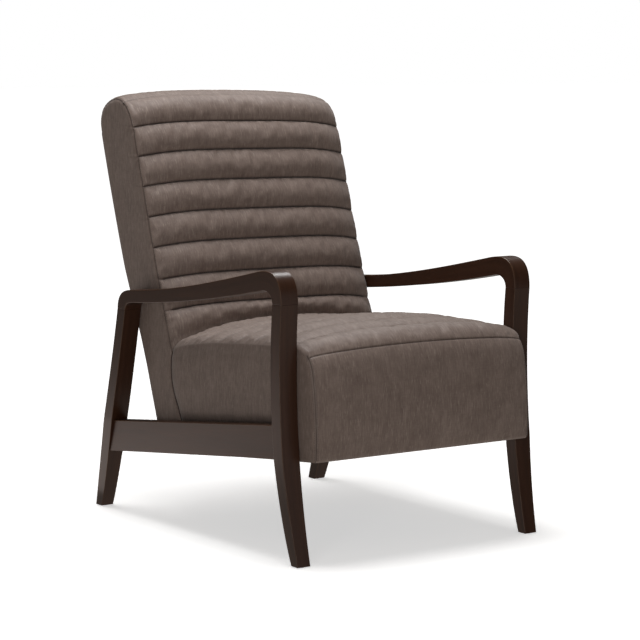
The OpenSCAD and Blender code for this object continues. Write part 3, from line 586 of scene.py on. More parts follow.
# %% Arms and legs, left and right
SIDES = {"left": -1, "right": 1}
for word, side in SIDES.items():
    arm = bar(word + "_arm_bent", arm_top, arm_under,
              straight_side, (JOINT_EASE, JOINT_EASE), ARM_STEPS, side)
    dress(arm, wood_finish, word + "_arm")
    front_leg = bar(word + "_front_leg_curved", front_leg_front, front_leg_rear,
                    tapered_side(FRONT_FOOT_WIDTH), (FOOT_EASE, JOINT_EASE), LEG_STEPS, side)
    dress(front_leg, wood_finish, word + "_front_leg")
    rear_leg = bar(word + "_rear_leg_curved", rear_leg_front, rear_leg_rear,
                   tapered_side(REAR_FOOT_WIDTH), (FOOT_EASE, JOINT_EASE), LEG_STEPS, side)
    dress(rear_leg, wood_finish, word + "_rear_leg")

# %% [markdown]
# ## The side rails
# A straight board joins the two legs of a side. Its ends are cut to the curve of the legs, and it is set
# back a little from their outer faces, so its long edges catch the light.

# %% Side rails
def edge_y(edge, z):
    order = np.argsort(edge[:, 1])
    return np.interp(z, edge[order, 1], edge[order, 0])


def rail_point(leg_edge, guess_y, lift):
    # Where the rail's sloping edge meets the leg's curved one
    y = guess_y
    for _ in range(8):
        y = edge_y(leg_edge, underside(y) + RAIL_LIFT + lift)
    return [y, underside(y) + RAIL_LIFT + lift]


def rail_edge(lift):
    return np.array([rail_point(front_leg_rear, 80, lift), rail_point(rear_leg_front, 730, lift)])


def rail_side(z):
    return HALF_WIDTH - RAIL_INSET


for word, side in SIDES.items():
    rail = bar(word + "_side_rail_board", rail_edge(0), rail_edge(RAIL_HEIGHT),
               rail_side, (0.0, 0.0), RAIL_STEPS, side)
    dress(rail, wood_finish, word + "_side_rail")

# %% [markdown]
# ## The seat
# A seat cushion is flat only where it rests. Its outline from the side starts at the front bottom edge,
# goes up the front panel, over a rounded nose and back along the top to the crevice at the backrest.
# Across the chair it swells into a crown. Both are kept as functions of two numbers: the run along the
# cover, a, and the place across the chair, u, from -1 to 1.

# %% Swell of the cushions across the chair
def crown_share(u):
    return 1 - np.abs(u) ** 4


def seat_share(u):
    # A wide arch with a tight turn at each side
    return 0.2 * (1 - np.abs(u) ** 40) + 0.8 * (1 - np.abs(u) ** 2.4)


def top_share(u):
    return np.maximum(0, 1 - u * u) ** 0.45


def nose_share(u):
    return np.maximum(0, 1 - u * u) ** 0.6


def puff(f, sag=1.0):
    # With sag below 1 the filling has settled towards the lower seam
    return np.sin(np.pi * np.clip(f, 0, 1) ** sag) ** 0.7


def seat_relief_share(u):
    return 1 - np.abs(u) ** 5


def back_relief_share(u):
    return 0.25 + 0.75 * (1 - np.abs(u) ** 8)


# Places near a seam, in millimetres from it, where the mesh is finest
SEAM_STEPS = np.array([0, 0.8, 1.8, 3.2, 5.0, 7.4, 10.4, 14.0])


def clustered(start, end, step, at_start=True, at_end=True):
    low = SEAM_STEPS if at_start else np.array([0.0])
    high = SEAM_STEPS if at_end else np.array([0.0])
    room = (end - start) - low[-1] - high[-1]
    count = max(1, round(room / step))
    middle = start + low[-1] + room * np.arange(1, count) / count
    return np.concatenate([start + low, middle, end - high[::-1]])


def places_across(seam_half, step):
    half = clustered(0, seam_half, step, at_start=False) / seam_half
    return np.concatenate([-half[:0:-1], half])


# %% Seat outline
UP = math.radians(19.5)
BACK_FOOT = np.array([546.0, 396.0])
SEAT_CROWN = 46
SEAT_RELIEF = 8
SEAT_SEAM_HALF = BODY_HALF - 4
PITCH = 71
seat_front_y = -12.0
seat_top_z = UNDERSIDE_Z + 231
seat_shoulder = np.array([seat_front_y + 13, seat_top_z - 50])
seat_flat = np.array([seat_front_y + 70, seat_top_z])
crevice = BACK_FOOT + [2, -1]
crevice_shift = np.array([-20, SEAT_CROWN + 11])
seat_path = joined(
    [[seat_front_y + 5, UNDERSIDE_Z - 2]],
    bezier([seat_front_y, UNDERSIDE_Z + 3], [seat_front_y - 3, UNDERSIDE_Z + 56],
           seat_shoulder + [-11, -55], seat_shoulder),
    bezier(seat_shoulder, seat_shoulder + [6, 28], seat_flat + [-36, -4], seat_flat),
    bezier(seat_flat, seat_flat + [140, -9], crevice + [-97, 34], crevice))
seat_total = run_of(seat_path)[-1]
FRONT_SEAM = 221
SEAT_CORNER = 176
seat_channels = int((seat_total - FRONT_SEAM - 12) // PITCH)
seat_tail = FRONT_SEAM + seat_channels * PITCH
seat_rise = [
    (0, 0), (66, 0), (SEAT_CORNER, 0.2), (FRONT_SEAM, 0.37), (FRONT_SEAM + PITCH, 0.5),
    (FRONT_SEAM + 2 * PITCH, 0.7), (FRONT_SEAM + 3 * PITCH, 0.82), (FRONT_SEAM + 4.5 * PITCH, 0.72),
    (seat_total - 80, 0.8), (seat_total, crevice_shift[1] / SEAT_CROWN)]
seat_push = [
    (0, 0), (66, -8), (125, -11), (FRONT_SEAM, -14), (FRONT_SEAM + PITCH, -3), (FRONT_SEAM + 2 * PITCH, 0),
    (seat_total - 120, 0), (seat_total, crevice_shift[0])]
print("seat cover is", round(seat_total), "mm along its side, with", seat_channels, "channels")


# %% Seat surface
def seat_point(a, lift, u):
    base, out = at_run(seat_path, a), outward(seat_path, a)
    push, rise = smooth_lookup(seat_push, a), smooth_lookup(seat_rise, a)
    blend = np.clip((a - FRONT_SEAM) / PITCH, 0, 1)
    blend = (blend * blend * (3 - 2 * blend))[:, None]
    share = (1 - blend) * nose_share(u) + blend * seat_share(u)
    y = base[:, :1] + crown_share(u) * push[:, None]
    z = base[:, 1:] + share * SEAT_CROWN * rise[:, None]
    swell = SEAT_RELIEF * lift[:, None] * seat_relief_share(u)
    return np.stack([SEAT_SEAM_HALF * u + 0 * y, y + swell * out[:, :1], z + swell * out[:, 1:]], -1)


# %% [markdown]
# ## The backrest
# The back leans, so its outline is drawn in its own lean: s runs up along it and t to the rear. Seven
# full channels run across its front, a plain band rolls over its top, and the rear is nearly flat.

# %% Back outline
BACK_HEIGHT = 606
BACK_THICKNESS = 138
BACK_CROWN = 28
TOP_CROWN = 20.8
TOP_DROP = 4.0
BACK_RELIEF = 12.5
BACK_SEAM_HALF = BODY_HALF - 2
ARCH = 0.23
up_dir = np.array([math.sin(UP), math.cos(UP)])
rear_dir = np.array([math.cos(UP), -math.sin(UP)])
corner_s = BACK_HEIGHT - 106
top_s = BACK_HEIGHT - TOP_DROP
back_front = joined(
    bezier([8, 0], [12, 120], [6, 300], [-3, corner_s]),
    bezier([-3, corner_s], [-3, corner_s + 52], [12, top_s - 6], [62, top_s]))
shoulder_s = BACK_HEIGHT - 58
back_top = bezier(
    [62, top_s], [110, top_s + 5], [BACK_THICKNESS, top_s - 6], [BACK_THICKNESS, shoulder_s])
back_low_t = BACK_THICKNESS - 12
rear_bends = [
    [BACK_THICKNESS, 0.66 * BACK_HEIGHT], [BACK_THICKNESS, 0.38 * BACK_HEIGHT],
    [BACK_THICKNESS - 6, 0.25 * BACK_HEIGHT], [back_low_t, 0.1 * BACK_HEIGHT]]
back_rear = np.array([[BACK_THICKNESS, shoulder_s]] + rear_bends + [[back_low_t, -0.16 * BACK_HEIGHT]])
# The rear swells softly between its low end and the shoulder
REAR_SWELL = 7
back_rear = even(back_rear, 40)
back_rear[:, 0] += REAR_SWELL * np.sin(np.pi * np.clip(back_rear[:, 1] / shoulder_s, 0, 1)) ** 0.8
front_total = run_of(back_front)[-1]
FIRST_SEAM = BACK_HEIGHT - 94
back_channels = int((FIRST_SEAM - 60) // PITCH) + 1
LOWEST_SEAM = FIRST_SEAM - (back_channels - 1) * PITCH
BAND_START = LOWEST_SEAM + back_channels * PITCH
print("back has", back_channels, "channels above its lowest seam")


def to_world(t, s):
    return (BACK_FOOT[0] + t * rear_dir[0] + s * up_dir[0], BACK_FOOT[1] + t * rear_dir[1] + s * up_dir[1])


rear_face = np.array(to_world(back_low_t, 0))
lean_rise = math.cos(UP) / math.sin(UP)
# The cushions' lower edges lie this far above the underside
EDGE_LIFT = 2.5
rear_bottom_y = (rear_face[0] * lean_rise - rear_face[1] + UNDERSIDE_Z) / (lean_rise + math.tan(DECK_SLOPE))
rear_bottom = np.array([rear_bottom_y, underside(rear_bottom_y) + EDGE_LIFT])


# %% Back surface
# The sewn channels aren't quite even: each seam drifts a few millimetres from its place, and it runs
# a little askew
seam_drift = [(0, 0), (86, 3), (157, 3.5), (228, 6.5), (441, 6), (512, 2), (583, 0)]
seam_skew = [(0, 0), (157, 1.5), (228, 2.5), (441, 3), (512, 4.5), (583, 4)]


def crevice_run(u):
    return 3 + 46 * seat_share(u)


def back_point(a, lift, u):
    # Below the lowest seam the rows start at the crevice, which bows across the chair
    bowed = LOWEST_SEAM - (LOWEST_SEAM - a[:, None]) / LOWEST_SEAM * (LOWEST_SEAM - crevice_run(u))
    runs = np.where(a[:, None] < LOWEST_SEAM, bowed, a[:, None])
    runs = runs + smooth_lookup(seam_drift, a)[:, None]
    base, out = at_run(back_front, runs), outward(back_front, runs)
    t = base[..., 0] + crown_share(u) * BACK_CROWN * out[..., 0]
    s = base[..., 1] + crown_share(u) * ARCH * BACK_CROWN * (1 - out[..., 1])
    s = s + top_share(u) * TOP_CROWN * np.maximum(0, out[..., 1]) - smooth_lookup(seam_skew, a)[:, None] * u
    swell = BACK_RELIEF * lift[:, None] * back_relief_share(u)
    y, z = to_world(t + swell * out[..., 0], s + swell * out[..., 1])
    return np.stack([BACK_SEAM_HALF * u + 0 * y, y, z], -1)


def back_top_point(u, count):
    path = even(back_top, count)[1:]
    part = (np.arange(1, count + 1) / count)[:, None]
    lift = top_share(u) * TOP_CROWN * np.cos(np.pi / 2 * part ** 2) - seam_skew[-1][1] * u * (1 - part)
    y, z = to_world(path[:, :1] + 0 * lift, path[:, 1:] + lift)
    return np.stack([BACK_SEAM_HALF * u + 0 * y, y, z], -1)


# %% [markdown]
# ## Filling the channels
# A channel is two layers of cloth sewn together along its seams and filled between them. The seams hold,
# and the cloth between them is pushed out until it is tight. That is what a cloth simulation does when
# the seam lines are pinned: air pressure stands for the filling. The cloth is a little wider than its
# frame, so small puckers form along the seams. The simulated push is then added to the drawn surface,
# with a cap, so that the cushion keeps its measured outline.

# %% Simulated filling
FILL_PRESSURE = 4.0
FILL_CAP = 0.006
FILL_FRAMES = 20
# The cloth's own grid: cells between two seams, and cells across the chair
CELLS = 12
CELLS_ACROSS = 96
# How much of the simulated push is drawn, in a channel and in a plain panel
CHANNEL_SHARE = 0.75
PLAIN_SHARE = 0.35


def cloth_push(name, points, pinned):
    # points is a grid of rows by columns in millimetres; returns how far each one is pushed, in metres
    rows, columns = points.shape[:2]
    piece = mesh_object(name, points.reshape(-1, 3), grid_faces(rows, columns))
    start = np.empty(rows * columns * 3, np.float32)
    piece.data.vertices.foreach_get("co", start)
    group = piece.vertex_groups.new(name="seams")
    group.add([int(i) for i in np.flatnonzero(pinned.ravel())], 1.0, "REPLACE")
    cloth = piece.modifiers.new("filling", "CLOTH")
    settings = cloth.settings
    settings.quality = 5
    settings.mass = 0.3
    settings.air_damping = 3
    settings.tension_stiffness = 12
    settings.compression_stiffness = 12
    settings.shear_stiffness = 4
    settings.bending_stiffness = 0.6
    settings.shrink_min = -0.035
    settings.use_pressure = True
    settings.uniform_pressure_force = FILL_PRESSURE
    settings.effector_weights.gravity = 0
    settings.vertex_group_mass = "seams"
    cloth.collision_settings.use_collision = False
    cloth.collision_settings.use_self_collision = False
    scene = bpy.context.scene
    cloth.point_cache.frame_start = 1
    cloth.point_cache.frame_end = FILL_FRAMES
    for frame_number in range(1, FILL_FRAMES + 1):
        scene.frame_set(frame_number)
    depsgraph = bpy.context.evaluated_depsgraph_get()
    filled = piece.evaluated_get(depsgraph).to_mesh()
    end = np.empty_like(start)
    filled.vertices.foreach_get("co", end)
    push = (end - start).reshape(rows, columns, 3)
    length = np.linalg.norm(push, axis=-1, keepdims=True)
    print(name, "was pushed up to", round(float(length.max()) * 1000, 1), "mm")
    push *= FILL_CAP * np.tanh(length / FILL_CAP) / np.maximum(length, 1e-9)
    discard(piece)
    scene.frame_set(1)
    return push


def softened(count, places):
    # Weights that read a row of count + 1 even values at any places between them, on a smooth curve
    weights = np.zeros((len(places), count + 1))
    for row, p in enumerate(places):
        i = min(int(p), count - 1)
        t = p - i
        parts = ((-t ** 3 + 2 * t * t - t) / 2, (3 * t ** 3 - 5 * t * t + 2) / 2,
                 (-3 * t ** 3 + 4 * t * t + t) / 2, (t ** 3 - t * t) / 2)
        for k, part in zip((i - 1, i, i + 1, i + 2), parts):
            weights[row, min(max(k, 0), count)] += part
    return weights


# %% Rows of a cushion
CHANNEL_STEPS = np.array([0.0, 0.012, 0.03, 0.055, 0.09, 0.135, 0.19, 0.255, 0.33, 0.41, 0.5])
channel_places = np.concatenate([CHANNEL_STEPS, 1 - CHANNEL_STEPS[-2::-1]])


def span(start, end, places, lifts, cells):
    # One stretch between two seams: where its fine rows lie, how full they are, and its cloth's cells
    return {"start": start, "end": end, "places": places, "lifts": lifts, "cells": cells}


def plain_span(start, end, step, cells, at_start=True, at_end=True):
    places = (clustered(start, end, step, at_start, at_end) - start) / (end - start)
    return span(start, end, places, np.zeros(len(places)), cells)


def channel_spans(first, count, sag=1.0):
    return [
        span(first + k * PITCH, first + (k + 1) * PITCH, channel_places, puff(channel_places, sag), CELLS)
        for k in range(count)]


def filled_rows(name, spans, surface, u):
    # The fine surface of all spans, with the simulated push added
    coarse_u = np.linspace(-1, 1, CELLS_ACROSS + 1)
    runs, lifts, seams = [spans[0]["start"]], [0.0], [0]
    for part in spans:
        f = np.arange(1, part["cells"] + 1) / part["cells"]
        runs += list(part["start"] + (part["end"] - part["start"]) * f)
        lifts += list(0.7 * np.interp(f, part["places"], part["lifts"]))
        seams.append(len(runs) - 1)
    push = None
    grid = surface(np.array(runs), np.array(lifts), coarse_u)
    pinned = np.zeros(grid.shape[:2], bool)
    pinned[seams] = True
    pinned[:, [0, -1]] = True
    push = cloth_push(name + "_filling", grid, pinned) * 1000
    across = softened(CELLS_ACROSS, (u + 1) / 2 * CELLS_ACROSS)
    rows, marks = [], [0]
    for part, first in zip(spans, seams):
        skip = 1 if rows else 0
        a = part["start"] + (part["end"] - part["start"]) * part["places"][skip:]
        fine = surface(a, part["lifts"][skip:], u)
        if push is not None:
            along = softened(part["cells"], part["places"][skip:] * part["cells"])
            block = push[first:first + part["cells"] + 1]
            drawn = CHANNEL_SHARE if part["lifts"].max() > 0 else PLAIN_SHARE
            fine = fine + drawn * np.einsum("ij,jkc,lk->ilc", along, block, across)
        rows.append(fine)
        marks.append(marks[-1] + len(fine) - (0 if skip else 1))
    return np.concatenate(rows), marks


# %% The hidden face between seat and back
# Each cushion stays this far from the face that the two share
HALF_GAP = 0.4
contact_bottom_y = BACK_FOOT[0] - 68
contact_rows = [
    (crevice, crevice_shift), (crevice + [8, -20], [-20, SEAT_CROWN]),
    (crevice + [9, -44], [-16, 0.5 * SEAT_CROWN]), (crevice + [6, -74], [-10, 0.15 * SEAT_CROWN]),
    (crevice + [-5, -102], [-4, 0]), (crevice + [-27, -141], [0, 0]), (crevice + [-48, -185], [0, 0]),
    ([contact_bottom_y, underside(contact_bottom_y) + EDGE_LIFT], [0, 0])]
contact_base = np.array([row[0] for row in contact_rows], float)
contact_move = np.array([row[1] for row in contact_rows], float)


def contact_face(u, seam_half, side, count):
    # Rows from the crevice down to the underside; side is 1 for the back, -1 for the seat, 0 between them
    t = np.linspace(0, len(contact_rows) - 1, count + 1)
    index = np.arange(len(contact_rows))
    base = np.stack([np.interp(t, index, contact_base[:, k]) for k in (0, 1)], -1)
    move = np.stack([np.interp(t, index, contact_move[:, k]) for k in (0, 1)], -1)
    y = base[:, :1] + crown_share(u) * move[:, :1] + HALF_GAP * side
    z = base[:, 1:] + seat_share(u) * move[:, 1:]
    return np.stack([seam_half * u + 0 * y, y, z], -1)


def between(first, last, count):
    # Straight rows from one row to another, without the two ends
    t = (np.arange(1, count) / count)[:, None, None]
    return (1 - t) * first + t * last


# %% [markdown]
# ## Closing a cushion with its side panels
# The cover so far is a tube across the chair. A side panel closes each end: a patch spun between the four
# edges of the outline. It meets the tube at the seam and swells outwards within a few millimetres, as a
# panel does that is filled from behind. The patch shares its edge points with the tube, so that the
# cushion is one closed skin.

# %% Tube and side patches
# Distances to a line are measured to points this far apart on it, in millimetres
FINE_STEP = 0.7


def patch(edge_front, edge_top, edge_rear, edge_bottom):
    # Four edges as rows of y, z points: front and rear run upwards, bottom and top run to the rear
    s = run_of(edge_top)
    t = run_of(edge_front)
    s, t = (s / s[-1])[None, :, None], (t / t[-1])[:, None, None]
    return (
        (1 - t) * edge_bottom[None] + t * edge_top[None]
        + (1 - s) * edge_front[:, None] + s * edge_rear[:, None]
        - (1 - s) * (1 - t) * edge_bottom[0] - s * (1 - t) * edge_bottom[-1]
        - (1 - s) * t * edge_top[0] - s * t * edge_top[-1])


def dense(line, step=FINE_STEP):
    return at_run(line, np.arange(0, run_of(line)[-1], step))


def distance_to(outline, points):
    tree = KDTree(len(outline))
    for i, p in enumerate(outline):
        tree.insert((p[0], p[1], 0), i)
    tree.balance()
    return np.array([tree.find((p[0], p[1], 0))[2] for p in points])


def cushion_shell(name, ring, seam_half, corners, rise, belly, free=None):
    # ring holds the closed tube's rows by the places across; corners are the rows of its four corners.
    # rise gives how far the side stands out at a distance from a seam, and belly what the panel adds.
    # The rows in free have no seam: there the top turns into the side in one sweep.
    rows, columns = ring.shape[:2]
    ring = ring.copy()
    end = ring[:, 0, 1:]
    looped = np.vstack([end, end[:1]])
    whole = dense(looped)
    sewn = whole
    if free is not None:
        runs = run_of(looped)
        kept = np.arange(0, runs[-1], FINE_STEP)
        sewn = at_run(looped, kept[(kept < runs[free[0]]) | (kept > runs[free[1]])])
        ring[..., 0] *= 1 + rise(distance_to(sewn, end))[:, None] / seam_half
    points = [ring.reshape(-1, 3)]
    faces = []
    for i in range(rows):
        j = (i + 1) % rows
        for k in range(columns - 1):
            faces.append((i * columns + k, j * columns + k, j * columns + k + 1, i * columns + k + 1))
    c0, c1, c2, c3 = corners
    offset = rows * columns
    for side, column in ((-1, 0), (1, columns - 1)):
        looped = np.vstack([ring[:, column], ring[:1, column]])
        front, top = looped[c0:c1 + 1], looped[c1:c2 + 1]
        rear, bottom = looped[c2:c3 + 1][::-1], looped[c3:rows + 1][::-1]
        grid = patch(front, top, rear, bottom)
        high, wide = grid.shape[:2]
        flat = grid[..., 1:].reshape(-1, 2)
        inside = np.zeros((high, wide), bool)
        inside[1:-1, 1:-1] = True
        seam_distance = distance_to(sewn, flat).reshape(high, wide)
        edge_distance = distance_to(whole, flat).reshape(high, wide)
        swell = seam_half + rise(seam_distance) + belly(edge_distance, grid)
        grid[..., 0] = np.where(inside, side * swell, grid[..., 0])
        points.append(grid.reshape(-1, 3))
        faces += grid_faces(high, wide, offset)
        offset += high * wide
    return mesh_object(name, np.vstack(points), faces, merge=0.00002)


# %% Seat cushion
def seat_rise_out(distance):
    return 4.0 * (1 - np.exp(-(distance / 5.0) ** 1.3))


def soft_step(low, high, value):
    t = np.clip((value - low) / (high - low), 0, 1)
    return t * t * (3 - 2 * t)


def seat_belly(distance, grid):
    # Above the rail the side swells into the open frame, and it tucks in behind the rail's top edge
    y, z = grid[..., 1], grid[..., 2]
    above_rail = soft_step(-1, 20, z - deck_height(RAIL_LIFT + RAIL_HEIGHT, y)) * soft_step(108, 145, y)
    return 0.8 * (1 - np.exp(-distance / 60)) + 5.5 * above_rail * (1 - np.exp(-(distance / 20) ** 2))


def make_seat():
    u = places_across(SEAT_SEAM_HALF, 6.0)
    # The last stretch runs into the crevice before it has closed
    tail = plain_span(seat_tail, seat_total, 5, 8, at_start=False)
    tail["lifts"] = 0.7 * puff(0.9 * tail["places"])
    spans = [plain_span(0, FRONT_SEAM, 5, 36)] + channel_spans(FRONT_SEAM, seat_channels) + [tail]
    # A row at the panel's upper corner lets the side patch turn there
    front = spans[0]
    corner = int(np.argmin(np.abs(front["places"] * FRONT_SEAM - SEAT_CORNER)))
    top, marks = filled_rows("seat", spans, seat_point, u)
    top_rows = len(top) - 1 - corner
    contact = contact_face(u, SEAT_SEAM_HALF, -1, corner)
    bottom = between(contact[-1], top[0], top_rows)
    bottom[..., 2] += 2.0 * np.sqrt(np.sin(np.pi * np.arange(1, top_rows) / top_rows))[:, None]
    ring = np.concatenate([top, contact[1:], bottom])
    corners = (0, corner, len(top) - 1, len(top) - 1 + corner)
    free = (marks[1] + 4, len(top) - 3)
    return cushion_shell("seat_cushion", ring, SEAT_SEAM_HALF, corners, seat_rise_out, seat_belly, free)


seat_cushion = make_seat()
print("seat cushion:", len(seat_cushion.data.vertices), "points")


# %% Back cushion
BACK_SAG = 0.8


def back_rise_out(distance):
    return 2.0 * (1 - np.exp(-(distance / 5.0) ** 1.3))


def back_belly(distance, grid):
    return 0.9 * (1 - np.exp(-distance / 50))


def make_back():
    u = places_across(BACK_SEAM_HALF, 6.0)
    # The lowest stretch comes out of the crevice already part full
    low = plain_span(0, LOWEST_SEAM, 5, 12, at_start=False)
    low["lifts"] = puff(0.08 + 0.92 * low["places"])
    band = plain_span(BAND_START, front_total, 5, 8, at_end=False)
    spans = [low] + channel_spans(LOWEST_SEAM, back_channels, BACK_SAG) + [band]
    front, marks = filled_rows("back", spans, back_point, u)
    contact = contact_face(u, BACK_SEAM_HALF, 1, 20)[:0:-1]
    over = back_top_point(u, 22)
    band_row = len(contact) + marks[-2]
    rear_points = even(back_rear, band_row - 1)[1:]
    rear_y, rear_z = to_world(rear_points[:, 0], rear_points[:, 1])
    rear_y, rear_z = np.append(rear_y, rear_bottom[0]), np.append(rear_z, rear_bottom[1])
    flat = np.stack([BACK_SEAM_HALF * u + 0 * rear_y[:, None],
                     rear_y[:, None] + 0 * u, rear_z[:, None] + 0 * u], -1)
    upper = np.concatenate([contact, front, over])
    ring = np.concatenate([upper, flat, between(flat[-1], contact[0], len(upper) - 1 - band_row)])
    corners = (0, band_row, len(upper) - 1, len(upper) - 1 + band_row)
    return cushion_shell("back_cushion", ring, BACK_SEAM_HALF, corners, back_rise_out, back_belly)


back_cushion = make_back()
print("back cushion:", len(back_cushion.data.vertices), "points")

# %% [markdown]
# ## The hollows inside the covers
# Inside, the covers fit round the foam, the seat box and the frame of the back. Each hollow is a block
# with a side profile, drawn with the same sizes as the model, and is cut out of the padded form. The
# Manifold solver is used for the cuts: it is quick and needs closed forms, which these are.

# %% Cutting blocks
SIDE_PAD = 11
BOX_HALF = BODY_HALF - SIDE_PAD
BOARD = 22
POST_OUTER = BOX_HALF - BOARD
BOX_FRONT = 14
BOX_BOTTOM = 6
BOX_TOP = 101
REAR_WRAP = 9
BOX_LENGTH = rear_bottom_y / math.cos(DECK_SLOPE) - REAR_WRAP - BOX_FRONT
FIT = 0.3
POST_TOP = BACK_HEIGHT - 34
BOLT_RUNS = (112, 310, 520)
BOLT_Z = RAIL_LIFT + RAIL_HEIGHT / 2
SPACER_RADIUS = 13.3


def on_deck(y, z):
    # A point drawn on the sloping seat box: y along it and z square to it
    return (y * math.cos(DECK_SLOPE) + z * math.sin(DECK_SLOPE),
            UNDERSIDE_Z - y * math.sin(DECK_SLOPE) + z * math.cos(DECK_SLOPE))


def block(name, outline, x0, x1):
    count = len(outline)
    points = [(x, p[0], p[1]) for x in (x0, x1) for p in outline]
    faces = [tuple(range(count))[::-1], tuple(range(count, 2 * count))]
    faces += [(i, (i + 1) % count, count + (i + 1) % count, count + i) for i in range(count)]
    return mesh_object(name, points, faces, merge=0.000001)


def cut(piece, cutters):
    for cutter in cutters:
        hollow = piece.modifiers.new("hollow", "BOOLEAN")
        hollow.operation = "DIFFERENCE"
        hollow.solver = "MANIFOLD"
        hollow.object = cutter
    bake_modifiers(piece)
    for cutter in cutters:
        discard(cutter)
    print(piece.name, "after its hollows:", len(piece.data.polygons), "faces")


def spacer_cutters():
    cutters = []
    for run in BOLT_RUNS:
        ring = [on_deck(run + SPACER_RADIUS * math.cos(w), BOLT_Z + SPACER_RADIUS * math.sin(w))
                for w in np.linspace(0, 2 * math.pi, 33)[:-1]]
        for side in (-1, 1):
            low, high = sorted((side * (BOX_HALF - 2), side * (BOX_HALF + SIDE_PAD + 8)))
            cutters.append(block("spacer_hole", ring, low, high))
    return cutters


# %% Hollow of the seat
foam_front = BOX_FRONT
foam_rear = crevice[0] - 24
COVER_THICKNESS = 24
TOP_FALL = 0.086


def cavity_top(y):
    return seat_top_z - COVER_THICKNESS - TOP_FALL * (y - seat_flat[0])


open_rear = foam_rear + 200
seat_hollow = [
    (foam_front - FIT, underside(foam_front) - 20), (foam_front - FIT, cavity_top(foam_front) - 34),
    (foam_front + 36, cavity_top(foam_front + 36)), (foam_rear, cavity_top(foam_rear)),
    (foam_rear + 8, cavity_top(foam_rear) - 40), (foam_rear - 8, deck_height(BOX_TOP + 3, foam_rear - 8)),
    (open_rear, deck_height(BOX_TOP + 3, open_rear)), (open_rear, underside(open_rear) - 20)]
cut(seat_cushion, [block("seat_hollow", seat_hollow, -BOX_HALF - FIT, BOX_HALF + FIT)] + spacer_cutters())

# %% Hollows of the back
POST_FRONT = 72
POST_REAR = 117
WEB_THICKNESS = 2
PANEL_THICKNESS = 5
PANEL_HALF = BODY_HALF - 9
BACK_FOAM_T = 26
BACK_FOAM_LOW = 40


def leaning_block(name, t0, t1, s0, s1):
    outline = [to_world(t0, s0), to_world(t1, s0), to_world(t1, s1), to_world(t0, s1)]
    return block(name, outline, -POST_OUTER - FIT, POST_OUTER + FIT)


PANEL_TOP = BACK_HEIGHT - 62
panel_line = np.array([[BACK_THICKNESS, PANEL_TOP]] + rear_bends + [[back_low_t, -400]])


def panel_space():
    # Everything behind the panel's front face, also where the rear swells
    outer = [to_world(t + 3 * REAR_SWELL, s + FIT) for t, s in panel_line]
    inner = [to_world(t - PANEL_THICKNESS - FIT, s + FIT) for t, s in panel_line]
    return outer + inner[::-1]


box_space = [on_deck(BOX_FRONT, -20), on_deck(BOX_FRONT + BOX_LENGTH + FIT, -20),
             on_deck(BOX_FRONT + BOX_LENGTH + FIT, BOX_TOP + 3), on_deck(BOX_FRONT, BOX_TOP + 3)]
post_face = POST_FRONT - WEB_THICKNESS - 1
cut(back_cushion, [
    leaning_block("foam_space", BACK_FOAM_T - FIT, POST_REAR, BACK_FOAM_LOW - FIT, POST_TOP + FIT),
    leaning_block("post_heads", post_face, POST_REAR, 400, POST_TOP + FIT),
    leaning_block("post_space", post_face, 180, -400, PANEL_TOP - 4),
    block("panel_space", panel_space(), -PANEL_HALF - FIT, PANEL_HALF + FIT),
    block("box_space", box_space, -BOX_HALF - FIT, BOX_HALF + FIT)] + spacer_cutters())

# %% [markdown]
# ## What is inside the covers
# The sitter is carried by foam on a felt pad over the springs, and leans on foam over stretched webbing.
# The foam is bandsawn, so its blocks have flat sides and softly broken edges, and each is glued up from a
# firm layer and a soft one. Felt, webbing and cloth are thin: each is one closed slab whose edges roll
# over, drawn on the same side profile as the solid that it stands for.

# %% Foam blocks
BOX_INNER_TOP = BOX_TOP + 6.7
PAD_THICKNESS = 4
FOAM_BOTTOM = BOX_INNER_TOP + PAD_THICKNESS + FIT
FIRM_LAYER = 45
FOAM_HALF = BOX_HALF - 3
FOAM_GLUE = 0.4


def foam_layer(name, outline, half):
    piece = block(name, outline, -half, half)
    bevel = piece.modifiers.new("broken edges", "BEVEL")
    bevel.width = 0.003
    bevel.segments = 3
    bevel.limit_method = "ANGLE"
    bevel.angle_limit = math.radians(25)
    return bake_modifiers(piece)


glue_z = FOAM_BOTTOM + FIRM_LAYER
rear_foot = np.array([foam_rear - 9, deck_height(FOAM_BOTTOM, foam_rear - 9)])
rear_heel = np.array([foam_rear + 7, cavity_top(foam_rear) - 41])
glue_rear = rear_foot + (rear_heel - rear_foot) * 0.6
glue_rear[1] = deck_height(glue_z, glue_rear[0])
seat_firm = [
    (foam_front + 3, deck_height(FOAM_BOTTOM, foam_front + 3)),
    (foam_front + 1, deck_height(glue_z - FOAM_GLUE, foam_front + 1)),
    (glue_rear[0], glue_rear[1] - FOAM_GLUE), tuple(rear_foot)]
seat_soft = [
    (foam_front + 1, deck_height(glue_z, foam_front + 1)), (foam_front + 1, cavity_top(foam_front) - 35),
    (foam_front + 36, cavity_top(foam_front + 36) - 1), (foam_rear - 1, cavity_top(foam_rear) - 1),
    tuple(rear_heel), tuple(glue_rear)]
WEB_FRONT = POST_FRONT - WEB_THICKNESS
BACK_GLUE_T = WEB_FRONT - FIT - 18
back_soft = [(BACK_FOAM_T, BACK_FOAM_LOW), (BACK_GLUE_T - FOAM_GLUE, BACK_FOAM_LOW),
             (BACK_GLUE_T - FOAM_GLUE, POST_TOP - 2), (BACK_FOAM_T, POST_TOP - 2)]
back_firm = [(BACK_GLUE_T, BACK_FOAM_LOW), (WEB_FRONT - FIT, BACK_FOAM_LOW),
             (WEB_FRONT - FIT, POST_TOP - 2), (BACK_GLUE_T, POST_TOP - 2)]
